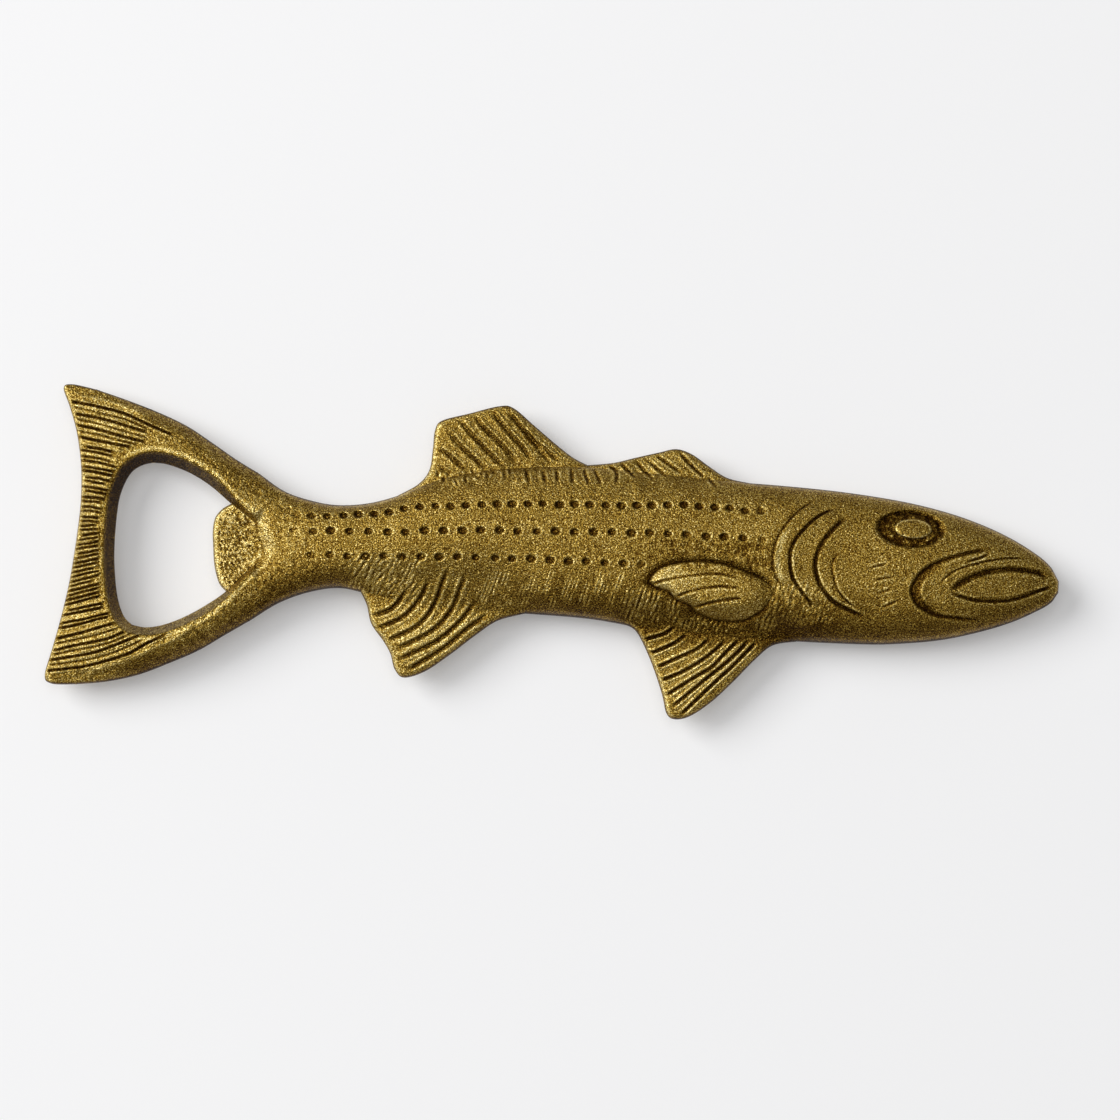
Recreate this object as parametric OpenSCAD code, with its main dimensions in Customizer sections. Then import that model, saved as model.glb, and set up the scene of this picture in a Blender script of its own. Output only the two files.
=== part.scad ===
// Fish-shaped bottle opener, cast in solid brass.
// The fish lies on its flank: +X runs to the snout, +Y to the back, +Z through the thickness.
// Its tail is a ring, and a short tongue in the ring's crotch hooks under a crown cap.
// The casting is the same on both faces, mirrored about the plane half way up.

/* [Overall] */
// Length from the tail tips to the snout
fish_length = 165; // [150:1:180]
// Thickness of the body at its crown
body_thickness = 11; // [10:0.5:14]

/* [Tail ring] */
// Thickness of the ring beside its hole
ring_thickness = 7; // [6:0.5:8]
// How far each wall of the hole leans outwards from the mid-plane to the face
hole_draft = 1.3; // [0.8:0.1:1.6]
// Thickness of the tongue that lifts the cap
tongue_thickness = 3.2; // [2.4:0.2:4]

/* [Fins] */
// Thickness of each fin where it leaves the body
fin_thickness = 3.6; // [3:0.2:4.4]
// Thickness left at every outer edge
edge_thickness = 1.2; // [0.8:0.2:1.6]

/* [Flank details] */
// How far the pectoral leaf stands above the bottom of its pocket
leaf_height = 1.9; // [1.6:0.1:2]
// Depth of the eye socket below the body's crown
socket_depth = 1.3; // [1:0.1:1.5]
// How far the eye stands up out of its socket
eye_height = 1; // [0.6:0.1:1]

/* [Smoothness] */
// Sections along the trunk
trunk_steps = 30; // [24:2:40]
// Sections along the head
head_steps = 16; // [12:2:24]
// Steps between two outline points
spline_steps = 3; // [2:1:4]

/* [Hidden] */

brass = [0.62, 0.49, 0.24];
worn_brass = [0.70, 0.57, 0.31];
dark_brass = [0.42, 0.32, 0.14];

drawn_length = 165;
plan_scale = fish_length / drawn_length;
half = body_thickness / 2;
tongue_half = tongue_thickness / 2;
fin_half = fin_thickness / 2;
edge_half = edge_thickness / 2;

// The ring's heights below are drawn for a ring this thick
drawn_ring_thickness = 7;
ring_growth = ring_thickness / drawn_ring_thickness;
// How far the ridge stands from the drafted wall, and how wide the ring's outer bevel is
ridge_setback = 0.8;
outer_bevel = 0.8;
// Height of the rounded step from the drafted wall up to the ridge
ridge_step = 0.5;
// Depth of the pocket that the pectoral leaf sits in, and the bevel round the leaf's face
leaf_pocket_depth = 2;
leaf_bevel = 0.5;

// Stations along the fish where one sub-part hands over to the next
tail_x = -49.5;
gill_x = 35.7;
cheek_x = 42.5;
snout_x = 82.5;

// The body's edge on the back, fins left out: [x, y]
back_line = [
    [-49.5, 11.8], [-45, 9], [-40, 7.6], [-36, 7.2], [-31, 7.8], [-26, 9.4], [-20, 12],
    [-14, 13.6], [-6, 14.8], [4, 15.4], [14, 15], [24, 14.5], [36, 14.2], [46, 13.7],
    [55, 12.8], [61, 11.8], [67, 10.3], [73, 8.1], [78, 5.5], [81, 3.2], [82.5, 0.8]
];

// The body's edge on the belly
belly_line = [
    [-49.5, -12.5], [-45, -9.4], [-40, -7.3], [-35, -6.4], [-30, -7.2], [-24, -8.2], [-16, -8.8],
    [-4, -9], [6, -9.3], [14, -10.2], [24, -10.9], [36, -11.2], [52, -11.1], [58, -10.6],
    [64, -9.7], [70, -8.1], [75, -6.3], [79, -4.3], [81.4, -2.7], [82.5, -1]
];

// Half the body's thickness, as a share of the half at its crown: [x, share]
crown_line = [
    [-49.5, 0.68], [-40, 0.8], [-30, 0.9], [-20, 0.97], [-12, 1], [54, 1], [60, 0.97],
    [66, 0.89], [72, 0.75], [77, 0.58], [80.5, 0.4], [82.5, 0.24]
];

// Cross-section of the body: [place from the middle to the edge, share of the crown height]
flank_profile = [[0.24, 1], [0.45, 0.975], [0.62, 0.91], [0.77, 0.79], [0.88, 0.64], [0.96, 0.48], [1, 0.32]];
flank_count = len(flank_profile);
body_section = concat(
    [for (i = [flank_count - 1 : -1 : 0]) [-flank_profile[i][0], flank_profile[i][1]]],
    flank_profile
);

// Cross-section of a fin, from its root to its rim: [place, share of the root's thickness]
fin_section = [[0, 1], [0.35, 0.9], [0.7, 0.75], [0.92, 0.6], [1, 0.33]];

// The ring, one row per section: [inner x, y, outer x, y, lip, crest, rim]
// lip is the half thickness at the hole, crest that of the ridge beside it, rim that at the outside
lower_arm_rows = [
    [-49.5, -3.5, -49.5, -12.5, 1.6, 3.5, 1.9],
    [-53.6, -8, -53.5, -15.1, 1.4, 3.5, 1.9],
    [-57, -10.5, -57.6, -17.8, 0.5, 3.5, 1.9],
    [-60.5, -12.6, -62.2, -20.1, 0.4, 3.5, 1.8],
    [-63.8, -14, -67.2, -22.3, 0.4, 3.4, 1.7],
    [-66.5, -14.5, -72.4, -23.7, 0.4, 3.4, 1.5],
    [-68.7, -14.2, -77.4, -24.4, 0.4, 3.3, 1.3]
];
lower_edge_rows = [
    [-68.7, -14.2, -77.4, -24.4, 0.4, 3.3, 1.3],
    [-69.9, -13.2, -81.3, -24.5, 0.4, 3.3, 1.2],
    [-70.7, -11.8, -82.5, -23.2, 0.4, 3.3, 1.1],
    [-71.4, -9.7, -81.5, -18.6, 0.4, 3.3, 1.1],
    [-71.9, -7, -80.3, -13, 0.4, 3.3, 1.1],
    [-72.3, -3.4, -79.3, -7, 0.4, 3.3, 1.1],
    [-72.4, 0, -78.6, 0, 0.4, 3.3, 1.1]
];
upper_edge_rows = [
    [-72.4, 0, -78.6, 0, 0.4, 3.3, 1.1],
    [-72.3, 3.4, -78.3, 5.6, 0.4, 3.3, 1.1],
    [-72, 6.6, -78.6, 11.4, 0.4, 3.3, 1.1],
    [-71.2, 9.2, -79.6, 16.8, 0.4, 3.3, 1.1],
    [-70.3, 10.8, -81, 21, 0.4, 3.3, 1.1],
    [-69.3, 11.7, -82.2, 24.1, 0.4, 3.3, 1.1],
    [-68.1, 12.3, -80.8, 24.8, 0.4, 3.3, 1.2],
    [-66.8, 12.6, -76.6, 24.1, 0.4, 3.3, 1.3]
];
upper_arm_rows = [
    [-66.8, 12.6, -76.6, 24.1, 0.4, 3.3, 1.3],
    [-64.8, 12.5, -71.5, 22.6, 0.4, 3.4, 1.5],
    [-62.2, 11.8, -66.4, 20.9, 0.4, 3.4, 1.7],
    [-59.6, 10.7, -61.6, 18.9, 0.4, 3.5, 1.8],
    [-56.8, 9, -57.2, 16.3, 0.5, 3.5, 1.9],
    [-53.6, 6.5, -53.2, 13.8, 1.4, 3.5, 1.9],
    [-49.5, 3.5, -49.5, 11.8, 1.6, 3.5, 1.9]
];

// The tongue: [root x, y, tip x, y]
tongue_rows = [
    [-49.5, -3.5, -53.6, -8],
    [-49.5, -2.9, -54.9, -6.6],
    [-49.5, -1.9, -55.8, -3.8],
    [-49.5, -0.6, -56.2, -0.6],
    [-49.5, 0.8, -56.4, 2],
    [-49.5, 2.1, -56.1, 4.1],
    [-49.5, 3, -55, 5.6],
    [-49.5, 3.5, -53.6, 6.5]
];

// Cross-section of the tongue, from its root to its tip: [place, share of its thickness]
tongue_section = [[0, 1], [0.5, 1], [0.9, 0.9], [1, 0.5]];

// Fin outlines, from the end nearer the tail to the end nearer the snout
rear_dorsal_tips = [
    [-26.4, 9.6], [-23.2, 11.3], [-21.5, 13.7], [-21.1, 17.2], [-20.9, 20.4], [-19.8, 22], [-15.4, 23.4],
    [-10.6, 24.85], [-8.2, 24.65], [-4.6, 21.9], [-0.6, 18.8], [2, 17], [4.4, 15.9]
];
front_dorsal_tips = [
    [4.4, 15.9], [8.6, 16.5], [12.4, 17.6], [16, 18.6], [18.8, 19.3], [21.4, 18.6], [24.4, 16.7],
    [27.4, 15], [31, 14.5]
];
anal_tips = [
    [-31.6, -7.4], [-30.5, -9], [-29.6, -12], [-27.5, -14.7], [-26.2, -16.8], [-25.4, -19.2], [-23.8, -20.5],
    [-20.4, -19.3], [-16.4, -16.3], [-12.5, -13], [-9, -10.4], [-4.6, -9.2]
];
pelvic_tips = [
    [12.8, -10.3], [14.8, -12.6], [16.8, -16.6], [18.5, -21], [19.4, -24.1], [20.8, -25], [23.2, -24.4],
    [26.6, -21.9], [30.2, -18.2], [33.4, -14.6], [36.2, -12.1], [40, -11.4]
];

// The pectoral fin, a leaf with three fingers: [x, y]
leaf_outline = [
    [36.3, -3.3], [34.2, -6.4], [30.6, -8.5], [26.8, -8.6], [23.6, -7.6], [22.2, -6.4], [20, -5.6],
    [18.6, -4.4], [16.5, -3.8], [15.3, -3], [16.4, -1.3], [18.4, -0.1], [23, 0.7], [27.7, 0.4], [33, -1.3]
];

// The eye and its socket: centres and half axes
eye_centre = [58, 7.9];
eye_radii = [3.2, 1.7];
socket_centre = [57.6, 7.9];
socket_radii = [5.6, 3.1];

// Curved handovers: how strongly a section bows towards the tail, and about which height
gill_bow = 0.057;
cheek_bow = 0.09;
gill_mid_y = 1.5;
cheek_mid_y = 2.5;
bow_start_x = 10;
gill_steps = 4;

// ---- Numbers ----

function pair_segment(x, pairs, i = 0) =
    i >= len(pairs) - 2 || x < pairs[i + 1][0] ? i : pair_segment(x, pairs, i + 1);

function pair_slope(pairs, i) =
    let (a = pairs[max(i - 1, 0)], b = pairs[min(i + 1, len(pairs) - 1)])
    (b[1] - a[1]) / (b[0] - a[0]);

// Smooth value at x of a curve through [x, value] pairs
function smooth_value(x, pairs) =
    let (
        i = pair_segment(x, pairs),
        a = pairs[i],
        b = pairs[i + 1],
        span = b[0] - a[0],
        t = min(max((x - a[0]) / span, 0), 1),
        rise = b[1] - a[1],
        slope_a = pair_slope(pairs, i) * span,
        slope_b = pair_slope(pairs, i + 1) * span
    )
    a[1] + slope_a * t + (3 * rise - 2 * slope_a - slope_b) * t * t
        + (slope_a + slope_b - 2 * rise) * t * t * t;

// One point of a smooth curve between b and c, with a and d as its neighbours
function curve_point(a, b, c, d, t) =
    0.5 * (2 * b + (c - a) * t + (2 * a - 5 * b + 4 * c - d) * t * t + (3 * b - a - 3 * c + d) * t * t * t);

// Smooth open curve through a list of points or rows
function open_curve(rows, steps) =
    let (last = len(rows) - 1)
    [
        for (i = [0 : last - 1])
            for (k = [0 : steps - 1])
                curve_point(rows[max(i - 1, 0)], rows[i], rows[i + 1], rows[min(i + 2, last)], k / steps),
        rows[last]
    ];

// Smooth closed curve through a list of points
function closed_curve(points, steps) =
    let (n = len(points))
    [
        for (i = [0 : n - 1])
            for (k = [0 : steps - 1])
                curve_point(
                    points[(i + n - 1) % n], points[i], points[(i + 1) % n], points[(i + 2) % n], k / steps
                )
    ];

// Point at a share of the way along a polyline
function along(points, share) =
    let (
        place = share * (len(points) - 1),
        i = min(floor(place), len(points) - 2)
    )
    points[i] + (points[i + 1] - points[i]) * (place - i);

// ---- Body sections ----

// A station is [x at the middle, bow, y of the middle]
function station_x(station, y) = station[0] + station[1] * pow(y - station[2], 2);

// Height at which a station meets an edge line, found by repeated substitution
function edge_height(station, line, y = 5, turns = 12) =
    turns == 0 ? y : edge_height(station, line, smooth_value(station_x(station, y), line), turns - 1);

function edge_point(station, line) =
    let (y = edge_height(station, line))
    [station_x(station, y), y];

function crown_height(x) = half * min(smooth_value(x, crown_line), 1);

function trunk_station(i) =
    let (
        x = tail_x + (gill_x - tail_x) * i / trunk_steps,
        bend = max((x - bow_start_x) / (gill_x - bow_start_x), 0)
    )
    [x, gill_bow * bend * bend, gill_mid_y];

function gill_station(share) = [
    gill_x + (cheek_x - gill_x) * share,
    gill_bow + (cheek_bow - gill_bow) * share,
    gill_mid_y + (cheek_mid_y - gill_mid_y) * share
];

function head_station(share) =
    let (x = cheek_x + (snout_x - cheek_x) * share)
    [x, cheek_bow * pow(1 - share, 3), cheek_mid_y * (1 - share)];

function station_section(station) =
    let (
        low = edge_height(station, belly_line),
        high = edge_height(station, back_line),
        crown = crown_height(station[0])
    )
    [
        for (p = body_section)
            let (y = (low + high) / 2 + p[0] * (high - low) / 2)
            [station_x(station, y), y, max(crown * p[1], edge_half)]
    ];

// ---- Solids ----

// Closed solid through sections; each section is a row of [x, y, half thickness].
// The two faces mirror each other about the mid-plane of the fish.
// Seen from above, the sections run to the left of the way that each one is read.
module lofted(sections) {
    across = len(sections[0]);
    ring = 2 * across;
    last = len(sections) - 1;
    points = [
        for (s = sections) each concat(
            [for (p = s) [p[0] * plan_scale, p[1] * plan_scale, half + p[2]]],
            [for (p = s) [p[0] * plan_scale, p[1] * plan_scale, half - p[2]]]
        )
    ];
    faces = concat(
        [for (i = [0 : last - 1]) for (j = [0 : across - 2]) each
            let (a = i * ring + j, b = a + 1, c = b + ring, d = a + ring)
            [[a, b, c], [a, c, d], [a + across, c + across, b + across], [a + across, d + across, c + across]]
        ],
        [for (i = [0 : last - 1]) each
            let (a = i * ring, b = a + across - 1)
            [[a + across, a, a + ring, a + ring + across], [b + across, b + ring + across, b + ring, b]]
        ],
        [for (j = [0 : across - 2]) each
            let (a = j, b = last * ring + j)
            [[a + across, a + across + 1, a + 1, a], [b + across, b, b + 1, b + across + 1]]
        ]
    );
    polyhedron(points, faces, convexity = 6);
}

module body_length(stations) {
    lofted([for (s = stations) station_section(s)]);
}

// Plate between a root line on the body and a rim; thickest at the root
module fin_plate(root, rim) {
    steps = (len(rim) - 1) * spline_steps;
    rim_curve = open_curve(rim, spline_steps);
    lofted([
        for (i = [0 : steps])
            let (a = along(root, i / steps), b = rim_curve[i])
            [for (p = fin_section) [a[0] + (b[0] - a[0]) * p[0], a[1] + (b[1] - a[1]) * p[0], fin_half * p[1]]]
    ]);
}

// Points of an edge line at the trunk's own sections
function section_ends(line) = [for (i = [0 : trunk_steps]) edge_point(trunk_station(i), line)];

// Which of some points lies nearest to a place along x
function nearest(points, x) =
    let (gaps = [for (p = points) abs(p[0] - x)])
    [for (i = [0 : len(gaps) - 1]) if (gaps[i] == min(gaps)) i][0];

// Root line of a fin: the body's own facets between the sections nearest to the rim's two ends
function root_line(rim, line) =
    let (
        ends = section_ends(line),
        first = nearest(ends, rim[0][0]),
        last = nearest(ends, rim[len(rim) - 1][0])
    )
    [for (i = [first : last]) ends[i]];

function reversed(list) = [for (i = [len(list) - 1 : -1 : 0]) list[i]];

// One stretch of the ring: drafted inner wall, ridge beside the hole, then a fall to the outer rim
function ring_section(row) =
    let (
        inner = [row[0], row[1]],
        outer = [row[2], row[3]],
        width = norm(outer - inner),
        way = (outer - inner) / width,
        ridge = hole_draft + ridge_setback,
        shoulder = width - outer_bevel,
        crest = row[5] * ring_growth,
        rim = row[6] * ring_growth,
        profile = [
            [0, row[4]],
            [hole_draft, crest - ridge_step],
            [ridge, crest],
            [ridge + 0.35 * (shoulder - ridge), crest - 0.25 * (crest - rim)],
            [ridge + 0.7 * (shoulder - ridge), crest - 0.65 * (crest - rim)],
            [shoulder, rim],
            [width, edge_half]
        ]
    )
    [for (p = profile) [inner[0] + way[0] * p[0], inner[1] + way[1] * p[0], p[1]]];

module ring_stretch(rows) {
    lofted([for (row = open_curve(rows, spline_steps)) ring_section(row)]);
}

module on_both_faces() {
    children();
    translate([0, 0, body_thickness]) mirror([0, 0, 1]) children();
}

module on_far_face() {
    translate([0, 0, body_thickness]) mirror([0, 0, 1]) children();
}

module leaf_plan() {
    polygon([for (p = closed_curve(leaf_outline, spline_steps)) p * plan_scale]);
}

leaf_floor = body_thickness - leaf_pocket_depth;
socket_floor = body_thickness - socket_depth;

module ellipse_column(centre, radii, low, height) {
    translate([centre[0] * plan_scale, centre[1] * plan_scale, low])
        linear_extrude(height)
            polygon([for (a = [0 : 12 : 348]) [radii[0] * cos(a), radii[1] * sin(a)] * plan_scale]);
}

module one_leaf() {
    side_height = leaf_height - leaf_bevel;
    translate([0, 0, leaf_floor])
        linear_extrude(side_height)
            leaf_plan();
    translate([0, 0, leaf_floor + side_height])
        linear_extrude(leaf_bevel)
            offset(delta = -leaf_bevel)
                leaf_plan();
}

// ---- Sub-parts ----

module trunk() {
    color(brass) difference() {
        body_length([for (i = [0 : trunk_steps]) trunk_station(i)]);
        on_both_faces() translate([0, 0, leaf_floor]) linear_extrude(half) leaf_plan();
    }
}

module gill_cover() {
    color(worn_brass) body_length([for (i = [0 : gill_steps]) gill_station(i / gill_steps)]);
}

module head() {
    color(brass) difference() {
        body_length([for (i = [0 : head_steps]) head_station(i / head_steps)]);
        on_both_faces() ellipse_column(socket_centre, socket_radii, socket_floor, half);
    }
}

module right_eye() {
    color(worn_brass) ellipse_column(eye_centre, eye_radii, socket_floor, eye_height);
}

module left_eye() {
    color(worn_brass) on_far_face() ellipse_column(eye_centre, eye_radii, socket_floor, eye_height);
}

module right_pectoral_fin() {
    color(worn_brass) one_leaf();
}

module left_pectoral_fin() {
    color(worn_brass) on_far_face() one_leaf();
}

module front_dorsal_fin() {
    color(brass) fin_plate(root_line(front_dorsal_tips, back_line), front_dorsal_tips);
}

module rear_dorsal_fin() {
    color(brass) fin_plate(root_line(rear_dorsal_tips, back_line), rear_dorsal_tips);
}

module anal_fin() {
    color(brass) fin_plate(reversed(root_line(anal_tips, belly_line)), reversed(anal_tips));
}

module pelvic_fin() {
    color(brass) fin_plate(reversed(root_line(pelvic_tips, belly_line)), reversed(pelvic_tips));
}

module cap_tongue() {
    color(dark_brass) lofted([
        for (row = open_curve(tongue_rows, spline_steps))
            [for (p = tongue_section)
                [row[0] + (row[2] - row[0]) * p[0], row[1] + (row[3] - row[1]) * p[0], tongue_half * p[1]]]
    ]);
}

module upper_tail_arm() {
    color(brass) ring_stretch(upper_arm_rows);
}

module lower_tail_arm() {
    color(brass) ring_stretch(lower_arm_rows);
}

module upper_tail_edge() {
    color(worn_brass) ring_stretch(upper_edge_rows);
}

module lower_tail_edge() {
    color(worn_brass) ring_stretch(lower_edge_rows);
}

trunk();
gill_cover();
head();
right_eye();
left_eye();
right_pectoral_fin();
left_pectoral_fin();
front_dorsal_fin();
rear_dorsal_fin();
anal_fin();
pelvic_fin();
cap_tongue();
upper_tail_arm();
lower_tail_arm();
upper_tail_edge();
lower_tail_edge();
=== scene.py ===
"""Looks of the fish-shaped bottle opener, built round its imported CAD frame.

The casting is one smooth relief, worked out as a height above the mid-plane at any point of the fish's plan,
with grooves, dots and grain cut into it. Each sub-part is a closed mesh of its own stretch of that relief.
Plan lengths are drawn in millimetres: x runs to the snout, y to the back, and heights start at the mid-plane.
"""

import math

import bpy
import numpy as np
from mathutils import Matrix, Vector
from mathutils.kdtree import KDTree


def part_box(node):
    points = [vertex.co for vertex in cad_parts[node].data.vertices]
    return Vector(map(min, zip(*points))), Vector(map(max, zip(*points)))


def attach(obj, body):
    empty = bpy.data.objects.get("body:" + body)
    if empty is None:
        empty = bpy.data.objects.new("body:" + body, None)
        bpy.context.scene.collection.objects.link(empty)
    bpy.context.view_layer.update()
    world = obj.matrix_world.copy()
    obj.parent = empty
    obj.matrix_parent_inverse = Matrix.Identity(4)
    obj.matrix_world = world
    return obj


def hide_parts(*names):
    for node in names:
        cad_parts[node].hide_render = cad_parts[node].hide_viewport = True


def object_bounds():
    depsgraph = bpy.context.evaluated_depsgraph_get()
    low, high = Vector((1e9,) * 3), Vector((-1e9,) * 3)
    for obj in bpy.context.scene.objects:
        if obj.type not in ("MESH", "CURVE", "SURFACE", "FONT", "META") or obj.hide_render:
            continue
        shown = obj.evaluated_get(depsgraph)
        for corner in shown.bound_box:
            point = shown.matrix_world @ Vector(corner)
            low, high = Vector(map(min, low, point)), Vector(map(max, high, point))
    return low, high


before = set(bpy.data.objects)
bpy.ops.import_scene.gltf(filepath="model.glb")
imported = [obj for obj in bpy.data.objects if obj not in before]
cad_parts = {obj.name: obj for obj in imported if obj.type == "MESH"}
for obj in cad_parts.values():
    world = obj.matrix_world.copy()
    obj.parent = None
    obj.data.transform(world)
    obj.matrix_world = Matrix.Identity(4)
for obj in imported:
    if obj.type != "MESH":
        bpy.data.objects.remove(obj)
cad_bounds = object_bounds()

# ---- Sizes taken from the frame ----

DRAWN_LENGTH = 165.0
SCALE = (cad_bounds[1].x - cad_bounds[0].x) / DRAWN_LENGTH
MID_PLANE = (cad_bounds[0].z + cad_bounds[1].z) / 2


def half_thickness(node):
    """Half the thickness of a CAD node about the mid-plane, in drawn millimetres."""
    return (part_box(node)[1].z - MID_PLANE) / SCALE


CROWN = half_thickness("trunk")
RING_CREST = half_thickness("upper_tail_arm")
TONGUE = half_thickness("cap_tongue")
FIN = half_thickness("pelvic_fin")

# ---- Outlines, as in the CAD model ----

TAIL_X, MID_TRUNK_X, GILL_X, CHEEK_X, SNOUT_X = -49.5, -7, 35.7, 42.5, 82.5
GILL_BOW, CHEEK_BOW, BOW_START_X = 0.057, 0.09, 10
GILL_MID_Y, CHEEK_MID_Y = 1.5, 2.5

BACK_LINE = [
    (-49.5, 11.8), (-45, 9), (-40, 7.6), (-36, 7.2), (-31, 7.8), (-26, 9.4), (-20, 12),
    (-14, 13.6), (-6, 14.8), (4, 15.4), (14, 15), (24, 14.5), (36, 14.2), (46, 13.7),
    (55, 12.8), (61, 11.8), (67, 10.3), (73, 8.1), (78, 5.5), (81, 3.2), (82.5, 0.8),
]
BELLY_LINE = [
    (-49.5, -12.5), (-45, -9.4), (-40, -7.3), (-35, -6.4), (-30, -7.2), (-24, -8.2), (-16, -8.8),
    (-4, -9), (6, -9.3), (14, -10.2), (24, -10.9), (36, -11.2), (52, -11.1), (58, -10.6),
    (64, -9.7), (70, -8.1), (75, -6.3), (79, -4.3), (81.4, -2.7), (82.5, -1),
]
CROWN_LINE = [
    (-49.5, 0.68), (-40, 0.8), (-30, 0.9), (-20, 0.97), (-12, 1), (54, 1), (60, 0.97),
    (66, 0.89), (72, 0.75), (77, 0.58), (80.5, 0.4), (82.5, 0.24),
]

# The ring: inner x, y and outer x, y of each section
LOWER_ARM = [
    (-49.5, -3.5, -49.5, -12.5), (-53.6, -8, -53.5, -15.1), (-57, -10.5, -57.6, -17.8),
    (-60.5, -12.6, -62.2, -20.1), (-63.8, -14, -67.2, -22.3), (-66.5, -14.5, -72.4, -23.7),
    (-68.7, -14.2, -77.4, -24.4),
]
LOWER_EDGE = [
    (-68.7, -14.2, -77.4, -24.4), (-69.9, -13.2, -81.3, -24.5), (-70.7, -11.8, -82.5, -23.2),
    (-71.4, -9.7, -81.5, -18.6), (-71.9, -7, -80.3, -13), (-72.3, -3.4, -79.3, -7), (-72.4, 0, -78.6, 0),
]
UPPER_EDGE = [
    (-72.4, 0, -78.6, 0), (-72.3, 3.4, -78.3, 5.6), (-72, 6.6, -78.6, 11.4),
    (-71.2, 9.2, -79.6, 16.8), (-70.3, 10.8, -81, 21), (-69.3, 11.7, -82.2, 24.1),
    (-68.1, 12.3, -80.8, 24.8), (-66.8, 12.6, -76.6, 24.1),
]
UPPER_ARM = [
    (-66.8, 12.6, -76.6, 24.1), (-64.8, 12.5, -71.5, 22.6), (-62.2, 11.8, -66.4, 20.9),
    (-59.6, 10.7, -61.6, 18.9), (-56.8, 9, -57.2, 16.3), (-53.6, 6.5, -53.2, 13.8), (-49.5, 3.5, -49.5, 11.8),
]
TONGUE_RIM = [
    (-53.6, -8), (-54.9, -6.6), (-55.8, -3.8), (-56.2, -0.6),
    (-56.4, 2), (-56.1, 4.1), (-55, 5.6), (-53.6, 6.5),
]
TONGUE_ROOT_Y = 3.5
TONGUE_TAPER = [(-49.5, 3.5), (-49.1, 1.6), (-48.1, -0.8), (-48.3, -2.3), (-49.5, -3.5)]

# Fin rims, from the tail end to the snout end; their free ends lie on the body's edge
REAR_DORSAL = [
    (-26.4, 9.3), (-23.2, 11.3), (-21.5, 13.7), (-21.1, 17.2), (-20.9, 20.4), (-19.8, 22), (-15.4, 23.4),
    (-10.6, 24.85), (-8.2, 24.65), (-4.6, 21.9), (-0.6, 18.8), (2, 17), (4.4, 15.9),
]
FRONT_DORSAL = [
    (4.4, 15.9), (8.6, 16.5), (12.4, 17.6), (16, 18.6), (18.8, 19.3), (21.4, 18.6), (24.4, 16.7),
    (27.4, 15), (31, 14.35),
]
ANAL = [
    (-31.6, -6.9), (-30.5, -9), (-29.6, -12), (-27.5, -14.7), (-26.2, -16.8), (-25.4, -19.2), (-23.8, -20.5),
    (-20.4, -19.3), (-16.4, -16.3), (-12.5, -13), (-9, -10.4), (-4.6, -9),
]
PELVIC = [
    (12, -9.98), (13.5, -10.7), (14.9, -12.7), (16.8, -16.6), (18.5, -21), (19.4, -24.1), (20.8, -25),
    (23.2, -24.4), (26.6, -21.9), (30.2, -18.2), (33.4, -14.6), (36.2, -12.1), (40, -11.25),
]

# The pectoral leaf: its two edges, both from left to right
LEAF_TOP = [(15.3, -3), (16.4, -1.3), (18.4, -0.1), (23, 0.7), (27.7, 0.4), (33, -1.3), (36.3, -3.3)]
LEAF_BOTTOM = [
    (15.3, -3), (16.5, -3.8), (18.6, -4.4), (20, -5.6), (22.2, -6.4), (23.6, -7.6), (26.8, -8.6),
    (30.6, -8.5), (34.2, -6.4), (36.3, -3.3),
]

EYE_CENTRE = (58.0, 7.9)
EYE_RADII = (3.2, 1.7)
SOCKET_RADII = (5.6, 3.1)

# ---- Curves ----


def smooth_value(x, pairs):
    """Value at x of the smooth curve through (x, value) pairs, the same one that the CAD model draws."""
    table = np.asarray(pairs, float)
    xs, vs = table[:, 0], table[:, 1]
    slopes = np.empty(len(xs))
    slopes[1:-1] = (vs[2:] - vs[:-2]) / (xs[2:] - xs[:-2])
    slopes[0] = (vs[1] - vs[0]) / (xs[1] - xs[0])
    slopes[-1] = (vs[-1] - vs[-2]) / (xs[-1] - xs[-2])
    x = np.asarray(x, float)
    i = np.clip(np.searchsorted(xs, x, side="right") - 1, 0, len(xs) - 2)
    span = xs[i + 1] - xs[i]
    t = np.clip((x - xs[i]) / span, 0, 1)
    rise = vs[i + 1] - vs[i]
    a, b = slopes[i] * span, slopes[i + 1] * span
    return vs[i] + a * t + (3 * rise - 2 * a - b) * t**2 + (a + b - 2 * rise) * t**3


def curve(points, steps=8):
    """Smooth curve through points of any dimension."""
    p = np.asarray(points, float)
    t = (np.arange(steps) / steps)[:, None]
    runs = []
    for i in range(len(p) - 1):
        a, b, c, d = p[max(i - 1, 0)], p[i], p[i + 1], p[min(i + 2, len(p) - 1)]
        cubic = (3 * b - a - 3 * c + d) * t**3
        runs.append(0.5 * (2 * b + (c - a) * t + (2 * a - 5 * b + 4 * c - d) * t**2 + cubic))
    return np.concatenate(runs + [p[-1:]])


def evenly(points, count):
    """The polyline again, with count points at equal distances along its last two columns."""
    p = np.asarray(points, float)
    steps = np.hypot(np.diff(p[:, -2]), np.diff(p[:, -1]))
    place = np.concatenate([[0], np.cumsum(steps)])
    target = np.linspace(0, place[-1], count)
    return np.column_stack([np.interp(target, place, column) for column in p.T])


def ease(low, high, x):
    """0 below low, 1 above high, smooth between."""
    t = np.clip((x - low) / (high - low), 0, 1)
    return t * t * (3 - 2 * t)


def bell(t):
    """1 at 0, fading to both sides over a distance of about 1."""
    return np.exp(-(t**2))


def quarter_round(t):
    """Height of a round edge, from 0 at its foot to 1 from t = 1 on."""
    return np.sqrt(1 - (1 - np.clip(t, 0, 1)) ** 2)


def smooth_max(a, b, blend):
    """The greater of a and b, rounded where they are within blend of each other."""
    near = np.clip(blend - np.abs(a - b), 0, None) / blend
    return np.maximum(a, b) + near**2 * blend / 4


def smooth_min(a, b, blend):
    return -smooth_max(-a, -b, blend)


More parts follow.
